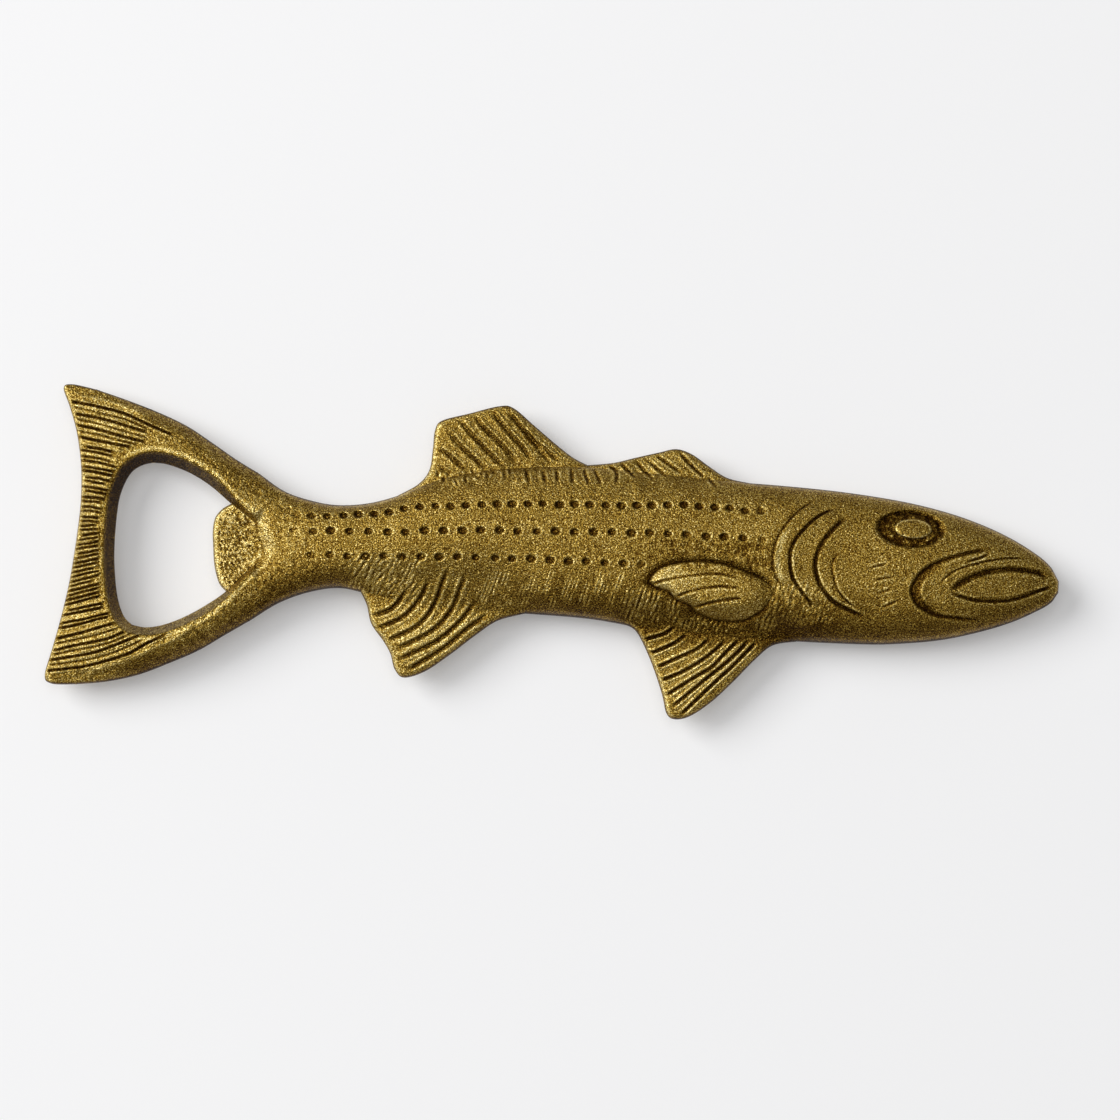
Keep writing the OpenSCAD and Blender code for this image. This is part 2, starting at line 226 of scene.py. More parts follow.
class Line:
    """A polyline that tells how far points are from it."""

    def __init__(self, points, closed=False):
        self.start = np.asarray(points, float)
        self.end = np.roll(self.start, -1, axis=0)
        if not closed:
            self.end[-1] = self.start[-1]
        self.tree = KDTree(len(self.start))
        for i, (x, y) in enumerate(self.start):
            self.tree.insert((x, y, 0), i)
        self.tree.balance()

    def distance(self, x, y):
        return self.offset(x, y)[0]

    def offset(self, x, y):
        """How far each point is from the line, and the x and y shares of the way there."""
        find = self.tree.find
        nearest = np.fromiter((find((a, b, 0))[1] for a, b in zip(x, y)), int, len(x))
        best, across, up = np.full(len(x), np.inf), np.zeros(len(x)), np.zeros(len(x))
        for i in (nearest, nearest - 1):
            along = self.end[i] - self.start[i]
            from_start = np.column_stack([x, y]) - self.start[i]
            length = np.maximum((along**2).sum(1), 1e-12)
            t = np.clip((from_start * along).sum(1) / length, 0, 1)
            gap = from_start - along * t[:, None]
            far = np.hypot(gap[:, 0], gap[:, 1])
            share = gap / np.maximum(far, 1e-9)[:, None]
            across = np.where(far < best, share[:, 0], across)
            up = np.where(far < best, share[:, 1], up)
            best = np.minimum(best, far)
        return best, across, up


def edge_run(line, start, end, step=0.3):
    """Points along the body's edge from x = start to x = end, either way."""
    x = np.linspace(start, end, max(int(abs(end - start) / step), 2))
    return np.column_stack([x, smooth_value(x, line)])


def silhouette():
    """The outside of the whole fish, clockwise from the root of the upper arm."""
    back = [
        edge_run(BACK_LINE, TAIL_X, REAR_DORSAL[0][0]),
        curve(REAR_DORSAL),
        curve(FRONT_DORSAL),
        edge_run(BACK_LINE, FRONT_DORSAL[-1][0], SNOUT_X),
    ]
    belly = [
        edge_run(BELLY_LINE, SNOUT_X, PELVIC[-1][0]),
        curve(PELVIC)[::-1],
        edge_run(BELLY_LINE, PELVIC[0][0], ANAL[-1][0]),
        curve(ANAL)[::-1],
        edge_run(BELLY_LINE, ANAL[0][0], TAIL_X),
    ]
    ring = [curve(rows)[:, 2:] for rows in (LOWER_ARM, LOWER_EDGE, UPPER_EDGE, UPPER_ARM)]
    return np.concatenate(back + belly + ring)


def hole_edge():
    """The inside of the ring, closed round the root of the tongue."""
    runs = [curve(rows)[:, :2] for rows in (LOWER_ARM, LOWER_EDGE, UPPER_EDGE, UPPER_ARM)]
    return np.concatenate(runs + [curve(TONGUE_TAPER)])


OUTSIDE = Line(silhouette(), closed=True)
HOLE = Line(hole_edge(), closed=True)
LEAF_EDGE = Line(np.concatenate([curve(LEAF_TOP), curve(LEAF_BOTTOM)[::-1]]), closed=True)
TONGUE_TIP = Line(curve(TONGUE_RIM))

# ---- Noise ----


def lattice(ix, iy, seed):
    """A repeatable number from 0 to 1 for each whole-number cell."""
    n = ix.astype(np.int64) * 374761393 + iy.astype(np.int64) * 668265263 + seed * 974634777
    n = (n ^ (n >> 13)) * 1274126177
    n = n ^ (n >> 16)
    return (n & 0xFFFF) / 65535.0


def noise(x, y, size, seed):
    """Smooth noise from -1 to 1 whose bumps are about size millimetres across."""
    u, v = np.asarray(x) / size, np.asarray(y) / size
    iu, iv = np.floor(u), np.floor(v)
    fu, fv = u - iu, v - iv
    su, sv = fu**3 * (fu * (6 * fu - 15) + 10), fv**3 * (fv * (6 * fv - 15) + 10)
    low = lattice(iu, iv, seed) * (1 - su) + lattice(iu + 1, iv, seed) * su
    high = lattice(iu, iv + 1, seed) * (1 - su) + lattice(iu + 1, iv + 1, seed) * su
    return 2 * (low * (1 - sv) + high * sv) - 1


def grit(x, y, size, seed):
    """Three octaves of noise on a turned grid, so that no row or column shows."""
    total = 0
    for k, share in enumerate((0.55, 0.3, 0.15)):
        turn = 0.6 + 1.1 * k
        u = x * math.cos(turn) - y * math.sin(turn)
        v = x * math.sin(turn) + y * math.cos(turn)
        total = total + share * noise(u, v, size / 2**k, seed + k)
    return total


# ---- The smooth casting ----

HOLE_DRAFT = 1.3  # how far the hole's sloping wall reaches into the ring
CREST_AT = 2.1  # from the hole to the ring's crest
LIP = 0.4  # height of the wall's foot, at the hole
RIM = 0.15  # least height, at every edge
PROUD = 0.22  # room left below the crown for what is raised on the body
RING_END_X = -38  # the hole shapes nothing on the head's side of this
FACET_X = TAIL_X - 2.5  # the facets beside the tongue start here
FAR = 99.0


def over_anal_fin(x):
    """1 where the anal fin joins the body, 0 elsewhere."""
    return ease(-37, -28, x) * ease(0, -10, x)


def over_pelvic_fin(x):
    """1 where the pelvic fin joins the body."""
    return ease(9, 15, x) * ease(43, 37, x)


def over_back_fins(x):
    """1 where the two dorsal fins join the body."""
    return ease(-30, -24, x) * ease(33, 27, x)


def body_height(x, y):
    """The domed body, as if it had no fins. Over the belly fins its lower side runs out gently."""
    low, high = smooth_value(x, BELLY_LINE), smooth_value(x, BACK_LINE)
    side = np.clip((2 * y - low - high) / (high - low), -1, 1)
    anal = over_anal_fin(x) * (side < 0)
    pelvic = over_pelvic_fin(x) * ease(0.5, 0.97, -side)
    dome = 1 - np.abs(side) ** (2.6 - 0.8 * anal)
    crown = (CROWN - PROUD) * np.minimum(smooth_value(x, CROWN_LINE), 1)
    return crown * dome ** (0.45 + 0.5 * anal + 0.5 * pelvic)


def tongue_ramp(x):
    """How far the tongue's floor has risen towards its root."""
    return 0.35 * ease(TAIL_X - 2, TAIL_X + 1.4, x)


def wall_loss(x):
    """How much of the ring's wall has narrowed away towards the tongue's root."""
    return 0.7 * ease(-57, -50.5, x)


def ring_height(x, to_hole, to_outside):
    """The tail ring: a drafted wall at the hole, a ridge beside it and a fall to the outside."""
    lobe = ease(-62, -76, x)
    crest = RING_CREST - 0.2 * lobe
    rim = 1.9 - 0.8 * lobe
    past_crest = np.maximum(to_hole - CREST_AT + wall_loss(x), 0)
    fall = (past_crest / (past_crest + to_outside + 1e-6)) ** 1.7
    ridge = crest + (rim - crest) * fall
    at_tongue = ease(-58, -54.3, x)
    lip = LIP + (TONGUE - 0.1 - LIP) * at_tongue
    wall = lip + to_hole * (crest - 0.4 - lip) / (HOLE_DRAFT - wall_loss(x))
    return smooth_min(ridge, wall, 0.3)


def edge_rounding(x, depth):
    """Share of the height left beside the outside edge: a quarter round."""
    arm = ease(-74, -66, x) * ease(-44, -54, x)
    radius = 0.75 - 0.35 * ease(-70, -77, x) + 1.4 * arm
    return quarter_round(depth / radius)


def in_tongue_taper(x, y):
    """Points of the trunk that still belong to the tongue's floor."""
    taper = curve(TONGUE_TAPER)[::-1]
    return (x > TAIL_X - 0.001) & (np.abs(y) < TONGUE_ROOT_Y) & (x < np.interp(y, taper[:, 1], taper[:, 0]))


def casting_height(x, y):
    """Height of the smooth casting above the mid-plane, and how far its outside and its hole are."""
    to_outside = OUTSIDE.distance(x, y)
    to_hole = np.full(len(x), FAR)
    tail = x < RING_END_X
    plate = 0.95 + (FIN - 0.95) * (1 - np.exp(-to_outside / 5))
    fillet = 1.2 + 1.8 * np.maximum(over_anal_fin(x), over_pelvic_fin(x)) * ease(-2, -6, y)
    above_back = y - smooth_value(x, BACK_LINE)
    at_back_fins = over_back_fins(x) * ease(6, 10, y) * ease(3, 0.3, above_back)
    fillet = fillet + at_back_fins * (1.9 + 0.8 * noise(x, 0.5 * y, 1.6, 27))
    height = smooth_max(body_height(x, y), plate, fillet)
    if tail.any():
        to_hole[tail] = HOLE.distance(x[tail], y[tail])
        to_hole = np.where(in_tongue_taper(x, y), 0, to_hole)
        ring = ring_height(x, to_hole, to_outside)
        body_share = ease(-54, -41, x)
        height = ring * (1 - body_share) + height * body_share
        # The facet that climbs from the tongue to the arms and the body
        climb = 0.6 + 3.4 * ease(TAIL_X + 1.4, FACET_X, x)
        facet = TONGUE - 0.05 + tongue_ramp(x) + to_hole * climb
        blend = 0.01 + 0.5 * ease(FACET_X, TAIL_X, x)
        height = np.where(x > FACET_X, smooth_min(height, facet, blend), height)
    height = RIM + (height - RIM) * edge_rounding(x, to_outside)
    return height, to_outside, to_hole


def hammer_marks(x, y):
    """The wrinkled skin of the tongue: its height from -1 to 1, its stain and its wear."""
    height = np.clip(1.7 * grit(x + 0.8 * y, 0.7 * y - 0.45 * x, 0.36, 61), -1, 1)
    return height, np.clip(0.05 - 0.5 * height, 0, 1), np.clip(0.4 + 0.65 * height, 0, 1)


# ---- Cuts in the casting ----


class Surface:
    """Points of one sub-part's face, with what is cut into them or raised on them."""

    def __init__(self, grid):
        self.x, self.y = grid[0].ravel(), grid[1].ravel()
        self.cut, self.stain, self.wear_and_highlight = np.zeros((3, len(self.x)))

    def darken(self, found, amount):
        self.stain[found] = np.maximum(self.stain[found], amount)

    def brighten(self, found, amount):
        self.wear_and_highlight[found] = np.maximum(self.wear_and_highlight[found], amount)

    def near(self, points, reach):
        """Which points are within reach of the box round some others."""
        low, high = points.min(0) - reach, points.max(0) + reach
        inside = (self.x > low[0]) & (self.x < high[0]) & (self.y > low[1]) & (self.y < high[1])
        return np.flatnonzero(inside)

    def beside(self, points, reach, ends):
        """The points near a line: which they are, how far off, and on which side (1 is the line's left).

        Then how strong the mark is there, as it fades towards both ends, and how far along, as a share.
        """
        line = curve(points, 6) if len(points) > 2 else np.asarray(points, float)
        found = self.near(line, reach)
        if not len(found):
            return found, None, None, None, None
        x, y = self.x[found], self.y[found]
        start, step = line[:-1], np.diff(line, axis=0)
        length = np.hypot(step[:, 0], step[:, 1])
        before = np.concatenate([[0], np.cumsum(length)[:-1]])
        gap_x, gap_y = x[:, None] - start[:, 0], y[:, None] - start[:, 1]
        t = np.clip((gap_x * step[:, 0] + gap_y * step[:, 1]) / length**2, 0, 1)
        distance = np.hypot(gap_x - t * step[:, 0], gap_y - t * step[:, 1])
        nearest = distance.argmin(1)
        row = np.arange(len(found))
        along = before[nearest] + t[row, nearest] * length[nearest]
        side = np.sign(step[nearest, 0] * gap_y[row, nearest] - step[nearest, 1] * gap_x[row, nearest])
        strength = ease(-0.15, ends, np.minimum(along, length.sum() - along))
        return found, distance[row, nearest], side, strength, along / length.sum()

    def groove(self, points, depth, width, lip, ends=1.0, stain=1.0):
        """A groove along a smooth line, with a low bank on both sides."""
        found, distance, _, strength, _ = self.beside(points, width * 5, ends)
        if not len(found):
            return
        bank = bell((distance - 2.1 * width) / width)
        self.cut[found] -= strength * depth * (bell(distance / width) - lip * bank)
        self.darken(found, stain * strength * bell(distance / (1.1 * width)))
        self.brighten(found, strength * bank * min(lip * 2.5, 1))

    def ridge(self, points, rise, width, ends, wear_and_highlight):
        """A rounded ridge along a smooth line, rubbed bright along its top."""
        found, distance, _, strength, _ = self.beside(points, width * 3, ends)
        if not len(found):
            return
        self.cut[found] += strength * rise * bell(distance / width)
        self.brighten(found, wear_and_highlight * strength * bell(distance / (0.5 * width)))

    def step(self, points, rise, depth, width, edge_width):
        """The edge of a scale: a groove, and a plate on its left, with a painted highlight along the plate's
        edge in the line's later half, which faces the light.
        """
        fall = 1.5
        found, distance, side, strength, share = self.beside(points, fall * 3, ends=2.0)
        if not len(found):
            return
        plate = np.where(side > 0, np.exp(-distance / fall) * ease(0, 0.35, distance), 0)
        cleft = bell(distance / width)
        self.cut[found] += strength * (rise * plate - depth * cleft)
        self.darken(found, strength * cleft)
        # painted highlight along the plate's edge, strongest in the line's later, lower half, which faces the
        # light
        edge = bell((distance - width - edge_width) / edge_width) * (side > 0)
        self.brighten(found, strength * edge * (0.15 + 0.85 * ease(0.3, 0.55, share)))

    def dent(self, centre, radius, depth):
        """A punched dot: a dark ring of patina round a low knob, with painted shade in the pit on the side
        away from the light and a painted highlight on the rim on the side towards the snout, where the pit's
        wall faces the light.
        """
        found = self.near(np.array([centre]), radius[0] * 3)
        if not len(found):
            return
        off_x, off_y = self.x[found] - centre[0], self.y[found] - centre[1]
        distance = np.hypot(off_x / radius[0], off_y / radius[1])
        toward_lit_side = (0.9 * off_x / radius[0] + 0.4 * off_y / radius[1]) / np.maximum(distance, 0.2)
        knob = bell(np.hypot(off_x / radius[0] - 0.25, off_y / radius[1]) / 0.4)
        pit = np.exp(-(distance**6)) * (1 - 0.6 * knob)
        rim = bell((distance - 1.3) / 0.25)
        self.cut[found] += depth * (0.2 * rim - pit)
        # patina in the pit, with painted shade on its side away from the light
        self.darken(found, pit * np.clip(1.25 - 0.4 * toward_lit_side, 0, 1) * min(depth / 0.25, 1))
        # a little rubbing round the rim, with a painted highlight on its side towards the snout, where the
        # pit's wall faces the light
        self.brighten(found, rim * (0.3 + 0.6 * np.clip(toward_lit_side, 0, 1)))


def fan(first, last, count):
    """count lines that turn evenly from the first into the last, which have as many points."""
    a, b = np.asarray(first, float), np.asarray(last, float)
    return [a + (b - a) * k / (count - 1) for k in range(count)]


RANDOM = np.random.default_rng(7)


def shaken(lines, amount):
    """The lines with each point moved a little, as cut by hand."""
    return [np.asarray(line) + RANDOM.uniform(-amount, amount, np.shape(line)) for line in lines]


def spaced(points, gap):
    """Points about gap apart along a smooth line."""
    line = curve(points)
    length = np.hypot(*np.diff(line, axis=0).T).sum()
    return evenly(line, int(length / gap) + 1)


# Rays of the tail: the long ones in its two lobes, then fans of short ones between them
LOBE_RAYS = [
    [(-80.9, 21.8), (-76.1, 21.2), (-71.8, 20.2), (-67.5, 18.5), (-63.5, 17)],
    [(-80.1, 19.9), (-75.5, 19.2), (-71.3, 18.2), (-67.8, 17.2)],
    [(-79.8, 18), (-75.8, 17.4), (-72, 16.5), (-67.8, 15.6)],
    [(-79.4, 16.1), (-75.7, 15.5), (-73, 15.1), (-70.2, 14.7)],
    [(-82.2, -22.5), (-76.2, -21.5), (-71.9, -20.2), (-68.5, -19), (-66, -17.4), (-62.6, -15.6)],
    [(-81.9, -20.8), (-76.3, -19.7), (-73.8, -19), (-70.3, -17.5), (-66.9, -15.9)],
    [(-81.6, -19.2), (-78.2, -18.3), (-74.7, -17.5), (-72.1, -16.7), (-69.4, -15.4)],
    [(-81.2, -17.2), (-77.4, -16.2), (-74.8, -15.4), (-72.4, -14.6), (-70.9, -14.2)],
]
SHORT_RAYS = (
    fan([(-79.2, 14.3), (-76, 13.9), (-71.8, 13.1)], [(-78.3, 2.6), (-76.4, 2.6), (-74.6, 2.4)], 8)
    + fan([(-78.3, 1), (-76.4, 1.2), (-74.6, 1.4)], [(-80.4, -11.4), (-77.2, -10.6), (-73.9, -9.6)], 9)
    + fan([(-80.6, -13.1), (-77.3, -12.4), (-73.2, -11.4)], [(-81, -15.2), (-77.5, -14.4), (-72.2, -12.9)], 2)
)
REAR_DORSAL_RAYS = [
    [(-20.5, 14.8), (-18.8, 13.6), (-17, 12.7)],
    [(-20.6, 17.6), (-18.4, 16.2), (-16.8, 14.9), (-14.8, 13.5)],
    [(-19.3, 20.7), (-17.1, 18.4), (-15.2, 16.6), (-13.2, 15.1), (-11.3, 13.8)],
    [(-17.4, 22.6), (-15.6, 20.6), (-13.4, 18.4), (-10.9, 16.1), (-8.5, 14.2)],
    [(-14.8, 23.4), (-13.1, 21.2), (-11.1, 19.4), (-9.1, 17.6), (-7, 15.3)],
    [(-12, 24.2), (-10.3, 22.1), (-8.3, 20), (-6.3, 18), (-4.5, 15.8)],
    [(-9.6, 24.4), (-7.5, 22.2), (-5.5, 20), (-3.5, 17.7), (-1.4, 15.6)],
    [(-6.6, 21.6), (-4.5, 19.3), (-2.1, 17.5), (0.2, 15.8)],
]
FRONT_DORSAL_RAYS = [
    [(9.5, 16.7), (11.1, 15.1), (12.5, 13.9)], [(12.1, 17.1), (13.7, 15.4), (15.3, 13.9)],
    [(14.2, 17.2), (15.9, 15.7), (17.5, 14.6)], [(15.4, 18.1), (17.3, 16.9), (19.9, 15.2)],
    [(19.2, 18.8), (21.1, 16.9), (23.8, 14.6)], [(24, 14.9), (25.8, 12.9)],
]
BACK_TEETH = [
    [(-5.8, 14.6), (-4.9, 12)], [(-3, 14.7), (-2.3, 12.2)], [(-0.7, 15), (-0.3, 12.4)],
    [(1.7, 15), (2.1, 12.3)], [(3.7, 15.1), (4.8, 12.4)], [(5.4, 15.2), (6.8, 12.5)],
    [(7.7, 16), (9.1, 14.9), (9.3, 12.8)],
]
ANAL_RAYS = [
    [(-29.8, -10.9), (-26.5, -9.5), (-24.5, -7), (-23.4, -5)],
    [(-28.8, -12.9), (-24.5, -10.7), (-21.8, -7.5), (-20.4, -4)],
    [(-26.9, -14.7), (-22, -12), (-19.5, -8.5), (-18, -4), (-17.2, -2.2)],
    [(-25.5, -16.1), (-20, -13), (-16.8, -9.5), (-15.3, -5.5), (-14.5, -2.8)],
    [(-25.2, -17.8), (-19, -14.5), (-15, -10.8), (-12.6, -7.2)],
    [(-23.7, -19.6), (-17.5, -15.4), (-13.5, -11.7), (-10.5, -9.4)],
]
PELVIC_RAYS = [
    [(14.8, -12.4), (18.3, -11.2), (20.2, -9.8)], [(15.7, -14.6), (17.4, -14), (20.3, -12.5), (22.2, -10.9)],
    [(17.3, -16.8), (20.4, -15.2), (23.8, -13.4), (25.9, -11.5)],
    [(18.1, -18.9), (21.7, -17.2), (25.1, -14.9), (27.5, -12.7), (28.5, -11.6)],
    [(19.1, -21.3), (23.6, -18.1), (26.3, -16.3), (28.5, -13.8), (30.6, -11.5)],
    [(20.1, -23.2), (25.9, -17.9), (28.6, -15.5), (30.8, -13.2), (32.2, -11.4)],
    [(21.6, -24.4), (27.6, -18.1), (29.8, -15.9), (32.2, -13.2), (33.6, -11.6)],
]
LEAF_GROOVES = [
    [(15.8, -3.5), (18.5, -2.5), (23.1, -1.5), (26.8, -1.2), (29.9, -1.7)],
    [(19.7, -5.4), (21.7, -4.4), (24.4, -3.6), (26.9, -3.2), (30.3, -3.3)],
    [(22.5, -7), (24.5, -6.3), (26.8, -5.6), (29.1, -5.1), (31, -5.1)],
]
# Rows of punched dots, each with the gap between its dots
DOT_ROWS = [
    ([(-42.7, 5), (-36, 5.2), (-30, 5.8), (-24, 7), (-16, 7.9),
      (-6, 8.6), (5.5, 9), (15, 9.5), (23, 9.8), (33, 9.4)], 2.52),
    ([(-42.9, 2.3), (-34, 2.7), (-26, 3), (-18, 3.6), (-8, 4.1), (4, 4.5), (20, 5), (33.4, 4.8)], 2.95),
    ([(-39.9, -1.5), (-30, -1.2), (-20, -0.8), (-10, -0.4), (2, -0.3), (14, -0.4)], 2.9),
]
GILL_ARCS = [
    [(41.7, 11.8), (38.8, 9.5), (36.3, 6), (35.4, 3), (35.4, 0.8), (36, -1.2), (37.2, -3)],
    [(45.4, 10.8), (42.4, 9.1), (40.4, 7.1), (38.8, 4.9), (38.1, 2.4), (38.6, -0.8), (39.9, -2.9),
     (42.8, -6.2)],
    [(47.3, 9.4), (45.2, 7.4), (43.3, 4.7), (42.3, 1.6), (42.9, -1.4), (44.1, -3.2), (45.8, -4.8),
     (50.8, -7)],
    [(46.3, 3.8), (45.3, 2.3), (45, 0.6), (45.4, -0.8), (46.1, -2.7), (47.5, -4.3), (49.5, -5.7)],
]
# For each gill arc: its plate's rise, its groove's depth and width, and the width of the painted highlight
# along its edge
GILL_STEPS = [
    (0.26, 0.14, 0.16, 0.6), (0.26, 0.28, 0.24, 0.2), (0.2, 0.36, 0.3, 0.18), (0.14, 0.14, 0.14, 0.16),
]
MOUTH_GROOVE = [
    (70.9, 5.4), (67.3, 4.5), (64.1, 3.4), (61.4, 2.1), (59.4, 0.5), (58.3, -1.5),
    (58.3, -2.8), (59.4, -4.5), (61.9, -5.8), (64.4, -6.2), (67, -6.3), (69.8, -6.3),
]
MOUTH_BAND = [
    (64.1, 3.2), (61.7, 1.9), (59.9, 0.3), (59, -1.5), (58.9, -2.8), (59.8, -4.2), (61.9, -5.5), (63.6, -6),
]
MOUTH_RIM = [(61.6, 0.8), (60.4, -0.4), (59.9, -1.6), (59.9, -2.7), (60.7, -4.1), (62, -5)]
FINE_MOUTH_LINE = [(62.8, -1.8), (62.9, -0.8), (63.7, 0.3), (65.5, 1.6), (67.8, 2.5), (72.6, 3.8), (77, 4.2)]
LIP_TOP = [
    (64.5, -2.1), (66, -0.7), (68.2, 0.6), (70.5, 1.5), (73.1, 2.1), (75.9, 2.2), (78.4, 2), (80.6, 1.3),
]
LIP_BOTTOM = [
    (64.5, -2.1), (66.1, -2.7), (68.4, -3.2), (71.4, -3.2), (74.2, -2.9), (77, -2), (78.9, -1.1),
    (81.4, -0.1),
]
CHEEK_MARKS = [
    [(51, 1.1), (53.9, 1.9)], [(52.2, -0.8), (55, -0.1)], [(52.6, -3), (54.8, -2.2)],
    [(53.4, -5.3), (55.9, -4)], [(67, 3), (68.8, 3.6), (70.5, 4.4)],
]
# The crests of the two lobes, outside their last rays
LOBE_CRESTS = [
    [(-76.2, -22.4), (-71.9, -21.1), (-68.5, -19.9), (-65.1, -18.1), (-60.8, -15.9), (-57.8, -13.2)],
    [(-79.6, 22.9), (-75, 22.2), (-71, 21.1), (-67.4, 19.6)],
]


def between_rays():
    """A fainter line half way between each two long rays of the same lobe."""
    for first, second in zip(LOBE_RAYS, LOBE_RAYS[1:]):
        if first[0][1] * second[0][1] > 0:
            count = min(len(first), len(second))
            yield (np.asarray(first[:count]) + np.asarray(second[:count])) / 2


def ragged(line):
    """The line as a hand-cut stroke: shaken, and with a start and an end of its own."""
    line = evenly(curve(line, 4), 7)
    line = evenly(line[RANDOM.choice([0, 0, 1]) : 7 - RANDOM.choice([0, 0, 0, 1])], 5)
    return shaken([line], 0.07)[0]


def tail_strokes():
    """Every groove of the tail with its depth, width and stain, and every rib with its rise."""
    grooves = [(ray, 0.34, 0.17, 1.0) for ray in shaken(LOBE_RAYS, 0.06)]
    grooves += [(line, 0.16, 0.13, 0.6) for line in shaken(list(between_rays()), 0.1)]
    ribs = []
    for ray in SHORT_RAYS:
        for shift in (-0.33, 0.33):
            stroke = ragged(np.asarray(ray) + (0, shift))
            grooves.append((stroke, RANDOM.uniform(0.22, 0.38), RANDOM.uniform(0.13, 0.17), 1.0))
        ribs.append((shaken([np.asarray(ray) + (0, 0.82)], 0.06)[0], RANDOM.uniform(0.08, 0.18)))
    return grooves, ribs


TAIL_GROOVES, TAIL_RIBS = tail_strokes()


def cut_tail(surface):
    for line, depth, width, stain in TAIL_GROOVES:
        surface.groove(line, depth, width, ends=0.7, lip=0.25, stain=stain)
    for line, rise in TAIL_RIBS:
        surface.ridge(line, rise, width=0.42, ends=0.5, wear_and_highlight=0.55)
    for crest in LOBE_CRESTS:
        surface.ridge(crest, rise=0.22, width=0.5, ends=3, wear_and_highlight=0.75)
    on_lobes = ease(-64, -72, surface.x) * ease(13, 15.5, np.abs(surface.y + 0.5))
    wrinkled = ease(-73.4, -75, surface.x) + on_lobes
    wrinkles = grit(surface.x * 1.2 + 0.3 * surface.y, surface.y, 0.5, 81)
    surface.cut += 0.1 * np.clip(wrinkled, 0, 1) * wrinkles
    surface.wear_and_highlight += 0.45 * np.clip(wrinkled, 0, 1) * np.clip(wrinkles, 0, 1)


def cut_dorsal_fins(surface):
    """Rays of the two dorsal fins, and the teeth and short strokes where they meet the back."""
    for ray in REAR_DORSAL_RAYS:
        surface.groove(ray, depth=0.24, width=0.32, ends=2.4, lip=0.1, stain=0.5)
        surface.ridge(np.asarray(ray) + (0.5, 0.4), rise=0.14, width=0.26, ends=2.4, wear_and_highlight=0.6)
    for ray in FRONT_DORSAL_RAYS:
        surface.groove(ray, depth=0.26, width=0.22, ends=1.2, lip=0.3, stain=0.85)
    for tooth in BACK_TEETH:
        surface.groove(tooth, depth=0.3, width=0.24, ends=0.9, lip=0.25, stain=0.8)
    foot = np.random.default_rng(17)
    for x in np.arange(-20, -6, 0.9):
        y = 14.6 + 0.08 * x + foot.uniform(-0.9, 0.9)
        end = (x + foot.uniform(-0.3, 0.7), y - foot.uniform(0.5, 1.5))
        width = foot.uniform(0.15, 0.3)
        surface.groove([(x, y), end], depth=0.2, width=width, ends=0.5, lip=0.4, stain=0.7)
    x, y = surface.x, surface.y
    on_fin = ease(13, 15, y - 0.06 * x) * ease(8, 4, x)
    streaks = grit(0.3 * (x - y), x + y, 0.5, 91)
    surface.cut += 0.06 * on_fin * streaks
    surface.wear_and_highlight += 0.4 * on_fin * np.clip(streaks - 0.1, 0, 1)


def cut_belly_fins(surface):
    for ray in ANAL_RAYS:
        surface.groove(ray, depth=0.3, width=0.3, ends=2.2, lip=0.3, stain=0.7)
    for ray in PELVIC_RAYS:
        surface.groove(ray, depth=0.32, width=0.22, ends=1.4, lip=0.4)


def cut_dots(surface):
    """Rows of punched dots that fade in and out."""
    punch = np.random.default_rng(5)
    for line, gap in DOT_ROWS:
        places = spaced(line, gap)
        for k, (x, y) in enumerate(places):
            fade = min(1, 0.3 + k / 4, 0.4 + (len(places) - 1 - k) / 3)
            centre = (x + punch.uniform(-0.12, 0.12), y + punch.uniform(-0.12, 0.12))
            size = punch.uniform(0.9, 1.1)
            surface.dent(centre, (0.7 * size, 0.54 * size), 0.38 * fade)


def cut_scratches(surface):
    """Short strokes on the belly, and scale marks behind the gill and above the anal fin."""
    strokes = np.random.default_rng(11)
    for x in np.arange(-14, 17, 1.0) + strokes.uniform(-0.6, 0.6, 31):
        foot = -8.2 + strokes.uniform(0, 3)
        height = strokes.uniform(1.2, 5)
        depth = strokes.uniform(0.04, 0.15)
        surface.groove([(x, foot), (x + 0.32 * height, foot + height)], depth, 0.13, lip=0.9, stain=0.15)
    # How many, between which x and y, how far they lean, how deep they are
    zones = [
        (60, (34, 45), (-9, -3), (0.5, 1.1), 0.1),
        (26, (12, 20), (-9.5, -4.5), (0.5, 1.6), 0.12),
        (60, (-33, -22), (-7, -0.5), (-0.6, -1), 0.1),
        (40, (20, 36), (-10.5, -8.8), (0.3, 1.2), 0.12),
    ]
    for count, across, up, lean, depth in zones:
        for _ in range(count):
            x, y, size = strokes.uniform(*across), strokes.uniform(*up), strokes.uniform(0.6, 1.5)
            end = (x + lean[0] * size, y + lean[1] * size)
            surface.groove([(x, y), end], depth, 0.17, ends=0.4, lip=0.7, stain=0.45)


def cut_head(surface):
    """The gill's plates, the mouth with its rim and lips, and the marks on the cheek."""
    for arc, sizes in zip(GILL_ARCS, GILL_STEPS):
        surface.step(arc, *sizes)
    surface.groove(MOUTH_GROOVE, depth=0.28, width=0.26, ends=3, lip=0.15)
    surface.groove(MOUTH_BAND, depth=0.36, width=0.62, ends=3.5, lip=0, stain=0.85)
    surface.ridge(MOUTH_RIM, rise=0.12, width=0.3, ends=2.2, wear_and_highlight=0.9)
    surface.groove(FINE_MOUTH_LINE, depth=0.18, width=0.14, ends=2.5, lip=0.2)
    surface.groove(LIP_TOP, depth=0.36, width=0.36, ends=1.5, lip=0.1, stain=0.85)
    surface.groove(LIP_TOP[:5], depth=0.14, width=0.6, ends=2.5, lip=0, stain=0.5)
    surface.groove(LIP_BOTTOM, depth=0.36, width=0.22, ends=1.5, lip=0.2)
    above_lip = np.asarray(LIP_BOTTOM[2:7]) + (0, 0.45)
    surface.groove(above_lip, depth=0.14, width=0.14, ends=1.5, lip=0.1, stain=0.7)
    for mark in CHEEK_MARKS:
        surface.groove(mark, depth=0.26, width=0.16, ends=0.6, lip=0.45)


